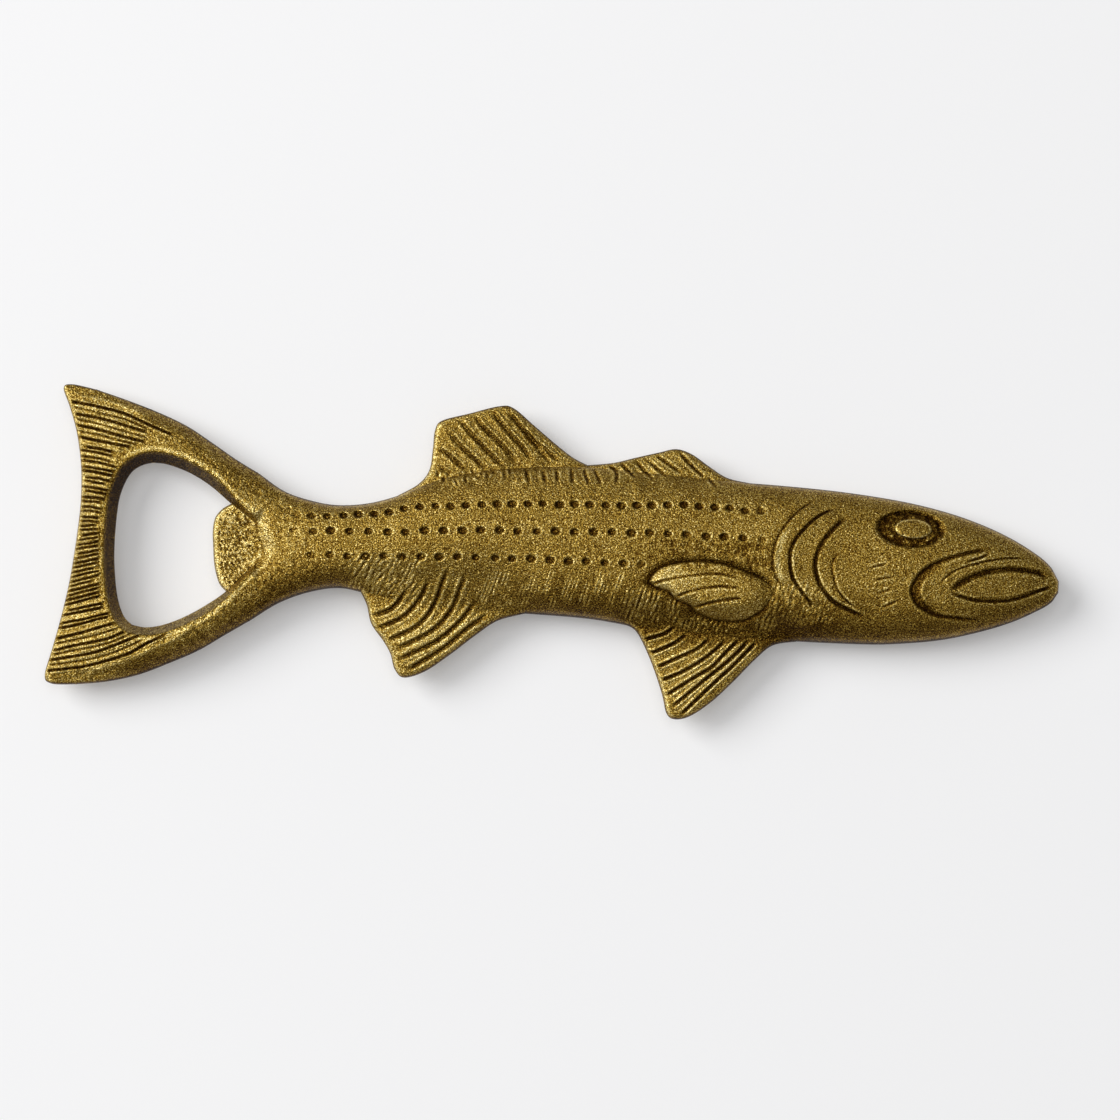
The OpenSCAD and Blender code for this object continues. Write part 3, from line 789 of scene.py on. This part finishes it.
def cut_socket(surface):
    """The sunken beaded ring round the eye."""
    x, y = surface.x - EYE_CENTRE[0] + 0.4, surface.y - EYE_CENTRE[1]
    ring = np.hypot(x / SOCKET_RADII[0], y / SOCKET_RADII[1])
    sunk = ease(1.07, 0.88, ring)
    beads = grit(surface.x, surface.y, 0.45, 51)
    brink = bell((ring - 0.9) / 0.12)
    surface.cut += sunk * (0.18 * beads - 0.5 - 0.15 * brink)
    surface.stain = np.maximum(surface.stain, sunk * np.clip(0.55 + 0.45 * brink - 0.9 * beads, 0, 1))
    surface.wear_and_highlight += 1.1 * sunk * (1 - 0.6 * brink) * np.clip(beads - 0.05, 0, 1)


def leaf_edges(x, beyond=None):
    """y of the leaf's lower and upper edge at x; past its ends, beyond and -beyond if that is given."""
    top, bottom = curve(LEAF_TOP), curve(LEAF_BOTTOM)
    below = None if beyond is None else -beyond
    low = np.interp(x, bottom[:, 0], bottom[:, 1], left=beyond, right=beyond)
    return low, np.interp(x, top[:, 0], top[:, 1], left=below, right=below)


def cut_leaf_seat(surface):
    """The hollow round the pectoral leaf, and the seat under it, with painted shade round the leaf's edge,
    strongest by its free tip.
    """
    found = surface.near(np.array([LEAF_TOP[0], LEAF_TOP[-1], (26, 0.9), (26, -8.9)]), 3)
    if not len(found):
        return
    x, y = surface.x[found], surface.y[found]
    distance = LEAF_EDGE.distance(x, y)
    low, high = leaf_edges(x, beyond=FAR)
    inside = (y < high) & (y > low)
    out = np.where(inside, 0, distance)
    at_tip = ease(37, 33, x)
    hollow = (0.3 * np.exp(-out / 1.4) + 0.28 * bell(out / 0.5)) * at_tip
    surface.cut[found] -= hollow + np.where(inside, 0.5 * ease(0, 0.8, distance), 0)
    # painted shade round the leaf, as if cast by its raised edge
    dark = 0.55 * bell(out / 0.35) + 0.35 * np.exp(-out / 1.1)
    surface.darken(found, dark * (0.25 + 0.75 * at_tip))


def roughen(surface):
    """Grain of the casting: a soft roll everywhere, coarser where the skin was stippled."""
    x, y = surface.x, surface.y
    stippled = ease(12, 20, x) * ease(38, 35, x) * ease(5.5, 3, y) * ease(-2, 0, y)
    behind_gill = ease(33, 36, x) * ease(48, 42, x) * ease(-1, -4, y)
    tail_root = ease(-36, -44, x) * ease(-70, -60, x)
    belly = ease(-2, -7, y) * ease(40, 30, x)
    coarse = np.clip(stippled + behind_gill + 1.3 * tail_root + 0.4 * belly, 0, 1.3)
    surface.cut += 0.035 * noise(x, y, 3.1, 21) + 0.02 * grit(x, y, 1.1, 31)
    fine = grit(x, y, 0.6, 41)
    surface.cut += (0.02 + 0.08 * coarse) * fine
    surface.stain = np.maximum(surface.stain, stippled * np.clip(0.25 - 0.6 * fine, 0, 1))
    surface.stain += 0.22 * behind_gill
    surface.stain += 0.3 * tail_root * np.clip(-fine, 0, 1)
    surface.wear_and_highlight += 0.45 * coarse * np.clip(fine, 0, 1)


# ---- Grids: plan points of each sub-part, rows along it and columns across it ----

# Width of a grid cell
FINE, MEDIUM = 0.13, 0.16


def count_for(length, gap=MEDIUM):
    """How many points about gap apart a length takes."""
    return max(int(length / gap), 6)


def crowded(count, strength, both=True):
    """Places from 0 to 1, closer together at 1, or at both ends."""
    t = np.linspace(0, 1, count)
    if both:
        return t - strength * np.sin(2 * np.pi * t) / (2 * np.pi)
    return t + strength * (1 - t) * t


def station_edges(x, bow, mid_y):
    """Where curved cross-lines meet the belly and the back."""
    found = []
    for line in (BELLY_LINE, BACK_LINE):
        y = np.full(len(x), 5.0)
        for _ in range(12):
            y = smooth_value(x + bow * (y - mid_y) ** 2, line)
        found.append(y)
    return found


def body_grid(x, bow, mid_y):
    low, high = station_edges(x, bow, mid_y)
    v = crowded(count_for((high - low).max()), 0.7)
    y = low[:, None] + (high - low)[:, None] * v
    return x[:, None] + bow[:, None] * (y - mid_y[:, None]) ** 2, y


def trunk_grid(start, end):
    x = np.linspace(start, end, count_for(end - start))
    bend = np.clip((x - BOW_START_X) / (GILL_X - BOW_START_X), 0, None)
    return body_grid(x, GILL_BOW * bend**2, np.full(len(x), GILL_MID_Y))


def gill_grid():
    t = np.linspace(0, 1, count_for(2 * (CHEEK_X - GILL_X)))
    x = GILL_X + (CHEEK_X - GILL_X) * t
    return body_grid(x, GILL_BOW + (CHEEK_BOW - GILL_BOW) * t, GILL_MID_Y + (CHEEK_MID_Y - GILL_MID_Y) * t)


def head_grid():
    t = crowded(count_for(SNOUT_X - CHEEK_X), 0.5, both=False)
    x = CHEEK_X + (SNOUT_X - CHEEK_X) * t
    return body_grid(x, CHEEK_BOW * (1 - t) ** 3, CHEEK_MID_Y * (1 - t))


def between(inner, outer, places):
    """Grid between two lines with as many points."""
    x = inner[:, :1] + (outer[:, :1] - inner[:, :1]) * places
    y = inner[:, 1:] + (outer[:, 1:] - inner[:, 1:]) * places
    return x, y


def ring_grid(rows):
    """Grid of a stretch of the ring, from the hole to the outside."""
    line = curve(rows, 24)
    length = np.hypot(*np.diff(line[:, 2:], axis=0).T).sum()
    width = np.hypot(line[:, 2] - line[:, 0], line[:, 3] - line[:, 1]).max()
    line = evenly(line, count_for(length, FINE))
    return between(line[:, :2], line[:, 2:], crowded(count_for(width, FINE), 0.6))


def fin_grid(rim, body_line):
    """Grid from the body's edge to a fin's rim."""
    line = curve(rim, 24)
    length = np.hypot(*np.diff(line, axis=0).T).sum()
    count = count_for(length)
    line = evenly(line, count)
    x = np.linspace(rim[0][0], rim[-1][0], count)
    root = np.column_stack([x, smooth_value(x, body_line)])
    width = np.hypot(*(line - root).T).max()
    return between(root, line, crowded(count_for(width), 0.8, both=False))


def tongue_grid():
    gap, rim_length, depth = 0.1, 20, 8
    rim = evenly(curve(TONGUE_RIM, 24), count_for(rim_length, gap))
    root_y = np.linspace(-TONGUE_ROOT_Y, TONGUE_ROOT_Y, len(rim))
    root = np.column_stack([np.full(len(rim), TAIL_X), root_y])
    return between(root, rim, crowded(count_for(depth, gap), 0.8, both=False))


def leaf_grid():
    t = crowded(count_for(22, FINE), 0.6)
    x = LEAF_TOP[0][0] + (LEAF_TOP[-1][0] - LEAF_TOP[0][0]) * t
    low, high = leaf_edges(x)
    v = crowded(count_for(10, FINE), 0.7)
    y = low[:, None] + (high - low)[:, None] * v
    return np.repeat(x[:, None], len(v), 1), y


def eye_grid():
    """Rings from the middle of the eye to its edge."""
    turn = np.linspace(0, 2 * np.pi, 96)
    out = np.sin(np.linspace(0, np.pi / 2, 22))
    x = EYE_CENTRE[0] + EYE_RADII[0] * np.cos(turn)[:, None] * out
    y = EYE_CENTRE[1] + EYE_RADII[1] * np.sin(turn)[:, None] * out
    return x, y


# ---- Meshes ----


def solid_mesh(name, grid, top, bottom, stain, wear_and_highlight):
    """Closed mesh between two heights over a grid, with sharp edges only round its walls."""
    x, y = grid
    rows, columns = x.shape
    count = rows * columns
    upper = np.column_stack([x.ravel(), y.ravel(), top])
    lower = np.column_stack([x.ravel(), y.ravel(), bottom])
    places = np.concatenate([upper, lower]) * SCALE
    places[:, 2] += MID_PLANE
    index = np.arange(count).reshape(rows, columns)
    a, b, c, d = index[:-1, :-1], index[1:, :-1], index[1:, 1:], index[:-1, 1:]
    top_faces = np.stack([a, b, c, d], -1).reshape(-1, 4)
    bottom_faces = np.stack([d, c, b, a], -1).reshape(-1, 4) + count
    loop = np.concatenate([index[:-1, 0], index[-1, :-1], index[:0:-1, -1], index[0, :0:-1]])
    ahead = np.roll(loop, -1)
    wall_faces = np.stack([loop, loop + count, ahead + count, ahead], -1)
    faces = np.concatenate([top_faces, bottom_faces, wall_faces]).astype(np.int32)
    mesh = bpy.data.meshes.new(name)
    mesh.vertices.add(len(places))
    mesh.vertices.foreach_set("co", places.astype(np.float32).ravel())
    mesh.loops.add(faces.size)
    mesh.loops.foreach_set("vertex_index", faces.ravel())
    mesh.polygons.add(len(faces))
    mesh.polygons.foreach_set("loop_start", np.arange(0, faces.size, 4, dtype=np.int32))
    mesh.polygons.foreach_set("use_smooth", np.ones(len(faces), bool))
    mesh.update(calc_edges=True)
    # the darkening attribute holds patina and painted shade; the brightening one holds wear and painted
    # highlights
    for key, values in (("stain", stain), ("wear_and_highlight", wear_and_highlight)):
        layer = mesh.attributes.new(key, "FLOAT", "POINT")
        layer.data.foreach_set("value", np.tile(values, 2).astype(np.float32))
    on_rim = np.zeros(2 * count, bool)
    on_rim[loop] = on_rim[loop + count] = True
    pairs = np.zeros(2 * len(mesh.edges), np.int32)
    mesh.edges.foreach_get("vertices", pairs)
    pairs = pairs.reshape(-1, 2)
    sharp = mesh.attributes.new("sharp_edge", "BOOLEAN", "EDGE")
    sharp.data.foreach_set("value", on_rim[pairs].all(1))
    mesh.validate()
    return mesh


def add_piece(name, mesh, material, slot, *nodes):
    piece = bpy.data.objects.new(name, mesh)
    bpy.context.scene.collection.objects.link(piece)
    mesh.materials.append(material)
    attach(piece, "root")
    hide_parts(*nodes)


def flank_painted_shade(x, y, to_outside, to_hole):
    """Painted shade on the sides of the body and the tail's arms, heavier below, and none on the fins."""
    low, high = smooth_value(x, BELLY_LINE), smooth_value(x, BACK_LINE)
    side = (2 * y - low - high) / (high - low)
    depth = (0.45 - 0.15 * ease(44, 56, x)) * (1 - 0.7 * over_anal_fin(x))
    belly = depth * ease(0.25, 0.95, -side) * ease(1.3, 1.02, -side)
    back = 0.06 * ease(0.6, 0.95, side) * ease(1.3, 1.02, side) * (1 - over_back_fins(x))
    across = to_hole / (to_hole + to_outside + 1e-6)
    arm = np.where(y < 0, 0.42, 0.12) * ease(0.5, 0.95, across) * ease(-76, -66, x)
    on_body = ease(-52, -44, x)
    return (belly + back) * on_body + arm * (1 - on_body)


def edge_looks(surface, to_outside, to_hole):
    """Brightening and darkening of the edges: a little rubbing on every edge with a painted highlight where
    it faces the tail and the key light, a rubbed crest on the ring, a painted highlight on the facets by the
    tongue, and painted shade on the hole's walls that face away from the light and along the outlines.
    """
    x = surface.x
    _, outward_x, _ = OUTSIDE.offset(x, surface.y)
    # how far an edge faces -x, towards the tail and the key light
    light_facing = np.clip(outward_x, 0, 1)
    # painted highlight on the edges facing the tail and the key light, over a little rubbing on every edge
    edge = ease(1, 0.4, to_outside) * ease(0, 0.3, to_outside) * (0.1 + 0.8 * light_facing)
    # painted shade: a dark outline along the outside, lighter where the edge faces the key light
    outline_shade = ease(0.35, 0.1, to_outside) * (0.75 - 0.5 * light_facing)
    in_tail = x < RING_END_X
    # painted shade on the hole's walls that face away from the light, the north and west ones
    lean = np.zeros(len(x))
    if in_tail.any():
        _, from_x, from_y = HOLE.offset(x[in_tail], surface.y[in_tail])
        lean[in_tail] = np.clip(0.25 + 0.7 * from_y - 0.5 * from_x, 0, 1)
    on_arm = ease(-73, -68, x)
    crest = (0.15 + 0.8 * on_arm) * bell((to_hole - CREST_AT + wall_loss(x)) / 0.3)
    # painted highlight on the facets beside the tongue, which face the light
    facet = ease(0.1, 0.7, to_hole) * ease(3.2, 1.6, to_hole) * ease(FACET_X, TAIL_X, x)
    facet = facet * ease(-3.5, -0.5, surface.y) * (0.75 + 0.5 * grit(x, surface.y, 0.7, 97))
    draft = HOLE_DRAFT - wall_loss(x)
    wall = ease(draft + 0.3, draft - 0.3, to_hole) * (x < TAIL_X) * ease(-50, -53, x)
    return np.maximum.reduce([edge, crest, facet]), np.maximum(outline_shade, lean * wall)


def cast_part(node, grid, cuts, material, name=None):
    """One stretch of the casting, with its cuts, the same on both faces."""
    surface = Surface(grid)
    height, to_outside, to_hole = casting_height(surface.x, surface.y)
    roughen(surface)
    for cut in cuts:
        cut(surface)
    if node == "trunk":
        taper = in_tongue_taper(surface.x, surface.y)
        hammered, dark, bright = hammer_marks(surface.x, surface.y)
        surface.cut += 0.1 * taper * hammered
        surface.stain += taper * dark
        surface.wear_and_highlight += taper * bright
    height = height + surface.cut * ease(0, 0.5, to_outside)
    height = np.clip(height, RIM, CROWN)
    wear_and_highlight, stain = edge_looks(surface, to_outside, to_hole)
    # painted shade: the body's lower side and the arms' outer slopes darkened as if turned away from the
    # light
    painted_shade = flank_painted_shade(surface.x, surface.y, to_outside, to_hole)
    stain = np.clip(np.maximum(surface.stain, stain) + painted_shade, 0, 1)
    wear_and_highlight = np.clip(np.maximum(surface.wear_and_highlight, wear_and_highlight), 0, 1)
    mesh = solid_mesh(node, grid, height, -height, stain, wear_and_highlight)
    add_piece(name or node + "_relief", mesh, material, "aged_brass", node)


def make_tongue(material):
    """The cap-lifting tongue: a hammered floor with a rubbed, rounded edge."""
    grid = tongue_grid()
    surface = Surface(grid)
    to_rim = TONGUE_TIP.distance(surface.x, surface.y)
    inside = ease(0.6, 1.3, to_rim)
    hammered, dark, bright = hammer_marks(surface.x, surface.y)
    height = TONGUE - 0.05 + tongue_ramp(surface.x) - 0.2 * ease(2.5, 0, to_rim) + 0.1 * inside * hammered
    height = RIM + (height - RIM) * quarter_round(to_rim / 0.5)
    wear_and_highlight = np.clip(ease(1.2, 0.5, to_rim) * ease(0, 0.3, to_rim) + inside * bright, 0, 1)
    mesh = solid_mesh("cap_tongue", grid, height, -height, inside * dark, wear_and_highlight)
    add_piece("cap_tongue_relief", mesh, material, "dark_brass", "cap_tongue")


def flank_mesh(name, grid, low, high, face, stain, wear_and_highlight):
    """Mesh of a piece on the right flank (face 1) or the left (face -1), from height low to height high."""
    floor = np.full(len(high), low)
    top, bottom = (high, floor) if face > 0 else (-floor, -high)
    return solid_mesh(name, grid, top, bottom, stain, wear_and_highlight)


def make_leaf(face, node, material):
    """A pectoral fin, as a leaf with three grooves."""
    grid = leaf_grid()
    surface = Surface(grid)
    base, _, _ = casting_height(surface.x, surface.y)
    to_edge = LEAF_EDGE.distance(surface.x, surface.y)
    roughen(surface)
    for line in LEAF_GROOVES:
        surface.groove(line, depth=0.42, width=0.2, ends=1.2, lip=0.1)
        surface.ridge(np.asarray(line) - (0, 0.45), rise=0.1, width=0.22, ends=1.2, wear_and_highlight=0.75)
    free_end = ease(36, 29, surface.x)
    swell = quarter_round(to_edge / 2.6)
    height = base - 0.35 + (0.4 + 0.85 * free_end) * swell - 0.35 * ease(21, 15, surface.x)
    barbs = grit(surface.x + 0.3 * surface.y, 0.25 * surface.y, 0.3, 95) * ease(30, 22, surface.x)
    surface.cut += 0.03 * barbs
    height = smooth_min(height + surface.cut * ease(0, 0.4, to_edge), CROWN - 0.02, 0.3)
    # painted highlight on the leaf's left end, which faces the light, with the barbs' texture
    wear_and_highlight = surface.wear_and_highlight + ease(25, 16, surface.x) * (0.5 + 0.3 * barbs) + 0.1 * free_end
    # painted shade along the leaf's rim, over the stain of its grooves
    stain = np.maximum(surface.stain, 0.5 * ease(0.3, 0.05, to_edge)) * 0.9
    mesh = flank_mesh(node, grid, 0.8, height, face, stain, np.clip(wear_and_highlight, 0, 1))
    add_piece(node + "_relief", mesh, material, "worn_brass", node)


def make_eye(face, node, material):
    """An eye: a low oval boss with a rubbed rim."""
    grid = eye_grid()
    x, y = grid[0].ravel(), grid[1].ravel()
    base, _, _ = casting_height(x, y)
    out = np.hypot((x - EYE_CENTRE[0]) / EYE_RADII[0], (y - EYE_CENTRE[1]) / EYE_RADII[1])
    swell = (1 - np.clip(out, 0, 1) ** 8) ** 0.5
    height = base - 0.7 + 0.78 * swell + 0.03 * grit(x, y, 0.9, 71)
    height = smooth_min(height, CROWN - 0.02, 0.2)
    wear_and_highlight = 0.9 * bell((out - 0.88) / 0.07)
    mesh = flank_mesh(node, grid, CROWN - 2.5, height, face, ease(0.96, 1, out), wear_and_highlight)
    add_piece(node + "_relief", mesh, material, "worn_brass", node)


# ---- Materials ----


def add_node(tree, kind, **settings):
    node = tree.nodes.new(kind)
    for key, value in settings.items():
        setattr(node, key, value)
    return node


def scaled_sum(tree, value, factor, added, clamp=False):
    """value * factor + added, where added is a number or another node's output."""
    node = add_node(tree, "ShaderNodeMath", operation="MULTIPLY_ADD", use_clamp=clamp)
    tree.links.new(value, node.inputs[0])
    node.inputs[1].default_value = factor
    if isinstance(added, float):
        node.inputs[2].default_value = added
    else:
        tree.links.new(added, node.inputs[2])
    return node.outputs[0]


def noise_node(tree, place, size, detail):
    """Noise whose cells are size millimetres across."""
    node = add_node(tree, "ShaderNodeTexNoise")
    node.inputs["Scale"].default_value = 1000 / size
    node.inputs["Detail"].default_value = detail
    node.inputs["Roughness"].default_value = 0.6
    tree.links.new(place, node.inputs["Vector"])
    return node.outputs["Fac"]


# Colours of the brass from its darkest tone, 0, to bare metal, 1
PATINA = [
    (0.0, (0.018, 0.006, 0.001)),
    (0.25, (0.096, 0.045, 0.005)),
    (0.5, (0.272, 0.162, 0.022)),
    (0.72, (0.52, 0.36, 0.075)),
    (1.0, (1.0, 0.83, 0.38)),
]


def brass_material():
    """Aged brass: dark patina in the cuts, a speckled olive skin, rubbed metal on the high spots, and the
    painted shade and painted highlights carried in the same attributes.
    """
    material = bpy.data.materials.new("aged_brass")
    material.use_nodes = True
    tree = material.node_tree
    link = tree.links.new
    tree.nodes.clear()
    output = add_node(tree, "ShaderNodeOutputMaterial")
    shader = add_node(tree, "ShaderNodeBsdfPrincipled")
    shader.inputs["Metallic"].default_value = 1.0
    link(shader.outputs[0], output.inputs["Surface"])
    place = add_node(tree, "ShaderNodeTexCoord").outputs["Object"]
    stain = add_node(tree, "ShaderNodeAttribute", attribute_name="stain").outputs["Fac"]
    wear_and_highlight = add_node(tree, "ShaderNodeAttribute", attribute_name="wear_and_highlight").outputs["Fac"]

    speckle = noise_node(tree, place, 0.19, 1)
    cloud = noise_node(tree, place, 5, 3)
    tone = scaled_sum(tree, speckle, 1.95, -0.615)
    tone = scaled_sum(tree, cloud, 0.2, tone)
    tone = scaled_sum(tree, wear_and_highlight, 0.37, tone)
    tone = scaled_sum(tree, stain, -0.5, tone, clamp=True)

    ramp = add_node(tree, "ShaderNodeValToRGB")
    while len(ramp.color_ramp.elements) < len(PATINA):
        ramp.color_ramp.elements.new(0.5)
    for element, (position, colour) in zip(ramp.color_ramp.elements, PATINA):
        element.position = position
        element.color = (*colour, 1)
    link(tone, ramp.inputs["Fac"])
    link(ramp.outputs["Color"], shader.inputs["Base Color"])
    link(scaled_sum(tree, tone, -0.1, 0.49), shader.inputs["Roughness"])

    grain = noise_node(tree, place, 0.3, 2)
    bump = add_node(tree, "ShaderNodeBump")
    bump.inputs["Strength"].default_value = 1.0
    bump.inputs["Distance"].default_value = 0.0002
    link(grain, bump.inputs["Height"])
    link(bump.outputs["Normal"], shader.inputs["Normal"])
    return material


def floor_material():
    material = bpy.data.materials.new("pale_floor")
    material.use_nodes = True
    shader = material.node_tree.nodes["Principled BSDF"]
    shader.inputs["Base Color"].default_value = (0.78, 0.78, 0.785, 1)
    shader.inputs["Emission Color"].default_value = (1, 1, 1.01, 1)
    shader.inputs["Emission Strength"].default_value = 0.185
    shader.inputs["Roughness"].default_value = 1.0
    shader.inputs["Specular IOR Level"].default_value = 0.0
    return material


# ---- Stage ----

CAMERA_AZIMUTH, CAMERA_ELEVATION = 3, 86
FRAME_WIDTH = 0.1836
CAMERA_DISTANCE = 0.8
CAMERA_TARGET = (0.0007, 0.0001, MID_PLANE)


def aim(thing, place, target):
    thing.location = place
    thing.rotation_mode = "QUATERNION"
    thing.rotation_quaternion = (Vector(target) - Vector(place)).to_track_quat("-Z", "Y")


def make_camera():
    data = bpy.data.cameras.new("camera")
    data.lens = data.sensor_width * CAMERA_DISTANCE / FRAME_WIDTH
    data.clip_start = 0.01
    camera = bpy.data.objects.new("camera", data)
    bpy.context.scene.collection.objects.link(camera)
    azimuth, elevation = math.radians(CAMERA_AZIMUTH), math.radians(CAMERA_ELEVATION)
    back = Vector((
        math.sin(azimuth) * math.cos(elevation),
        -math.cos(azimuth) * math.cos(elevation),
        math.sin(elevation),
    ))
    target = Vector(CAMERA_TARGET)
    aim(camera, target + back * CAMERA_DISTANCE, target)
    bpy.context.scene.camera = camera


def make_light(name, place, size, power):
    data = bpy.data.lights.new(name, "AREA")
    data.shape = "RECTANGLE"
    data.size = data.size_y = size
    data.energy = power
    light = bpy.data.objects.new(name, data)
    bpy.context.scene.collection.objects.link(light)
    aim(light, place, (0, 0, 0))


def floor_mesh():
    """A round floor, flat but for its far edge, which curves up as a low backdrop."""
    flat_reach, curve_reach, rise, around = 2.4, 1.0, 0.6, 96
    turn = np.arange(around) * 2 * np.pi / around
    places = [(0, 0, 0)]
    faces = [(0, 1 + k, 1 + (k + 1) % around) for k in range(around)]
    for ring, share in enumerate(np.linspace(0, 1, 9)):
        reach = flat_reach + share * curve_reach
        places += [(reach * math.cos(a), reach * math.sin(a), rise * share**2) for a in turn]
        if ring:
            inner, outer = 1 + (ring - 1) * around, 1 + ring * around
            for k in range(around):
                ahead = (k + 1) % around
                faces.append((inner + k, outer + k, outer + ahead, inner + ahead))
    mesh = bpy.data.meshes.new("floor")
    mesh.from_pydata(places, [], faces)
    mesh.polygons.foreach_set("use_smooth", np.ones(len(faces), bool))
    mesh.materials.append(floor_material())
    return mesh


def make_stage():
    mesh = floor_mesh()
    floor = bpy.data.objects.new("floor", mesh)
    bpy.context.scene.collection.objects.link(floor)
    world = bpy.data.worlds.new("studio")
    world.use_nodes = True
    world.node_tree.nodes["Background"].inputs["Color"].default_value = (1, 1, 1, 1)
    world.node_tree.nodes["Background"].inputs["Strength"].default_value = 0.18
    bpy.context.scene.world = world
    bpy.context.scene.view_settings.view_transform = "Standard"
    make_light("key", (-1.6, 0.6, 1.6), 1.4, 43)
    make_light("overhead", (-0.1, 0.1, 1.9), 1.1, 9.5)


# ---- The whole fish ----


def build():
    brass = brass_material()
    body_cuts = [cut_dots, cut_scratches, cut_dorsal_fins, cut_belly_fins, cut_leaf_seat, cut_head]
    cast_part("trunk", trunk_grid(TAIL_X, MID_TRUNK_X), body_cuts, brass, "trunk_rear_relief")
    cast_part("trunk", trunk_grid(MID_TRUNK_X, GILL_X), body_cuts, brass, "trunk_front_relief")
    cast_part("gill_cover", gill_grid(), [cut_scratches, cut_head], brass)
    cast_part("head", head_grid(), [cut_scratches, cut_head, cut_socket], brass)
    for node, rim in (("front_dorsal_fin", FRONT_DORSAL), ("rear_dorsal_fin", REAR_DORSAL)):
        cast_part(node, fin_grid(rim, BACK_LINE), [cut_dorsal_fins], brass)
    for node, rim in (("anal_fin", ANAL), ("pelvic_fin", PELVIC)):
        # Turned round, so that its faces look outwards
        x, y = fin_grid(rim, BELLY_LINE)
        cast_part(node, (x[::-1], y[::-1]), [cut_belly_fins], brass)
    ring = [
        ("lower_tail_arm", LOWER_ARM),
        ("lower_tail_edge", LOWER_EDGE),
        ("upper_tail_edge", UPPER_EDGE),
        ("upper_tail_arm", UPPER_ARM),
    ]
    for node, rows in ring:
        cast_part(node, ring_grid(rows), [cut_tail], brass)
    make_tongue(brass)
    for face, side in ((1, "right"), (-1, "left")):
        make_leaf(face, side + "_pectoral_fin", brass)
        make_eye(face, side + "_eye", brass)


build()
make_stage()
make_camera()
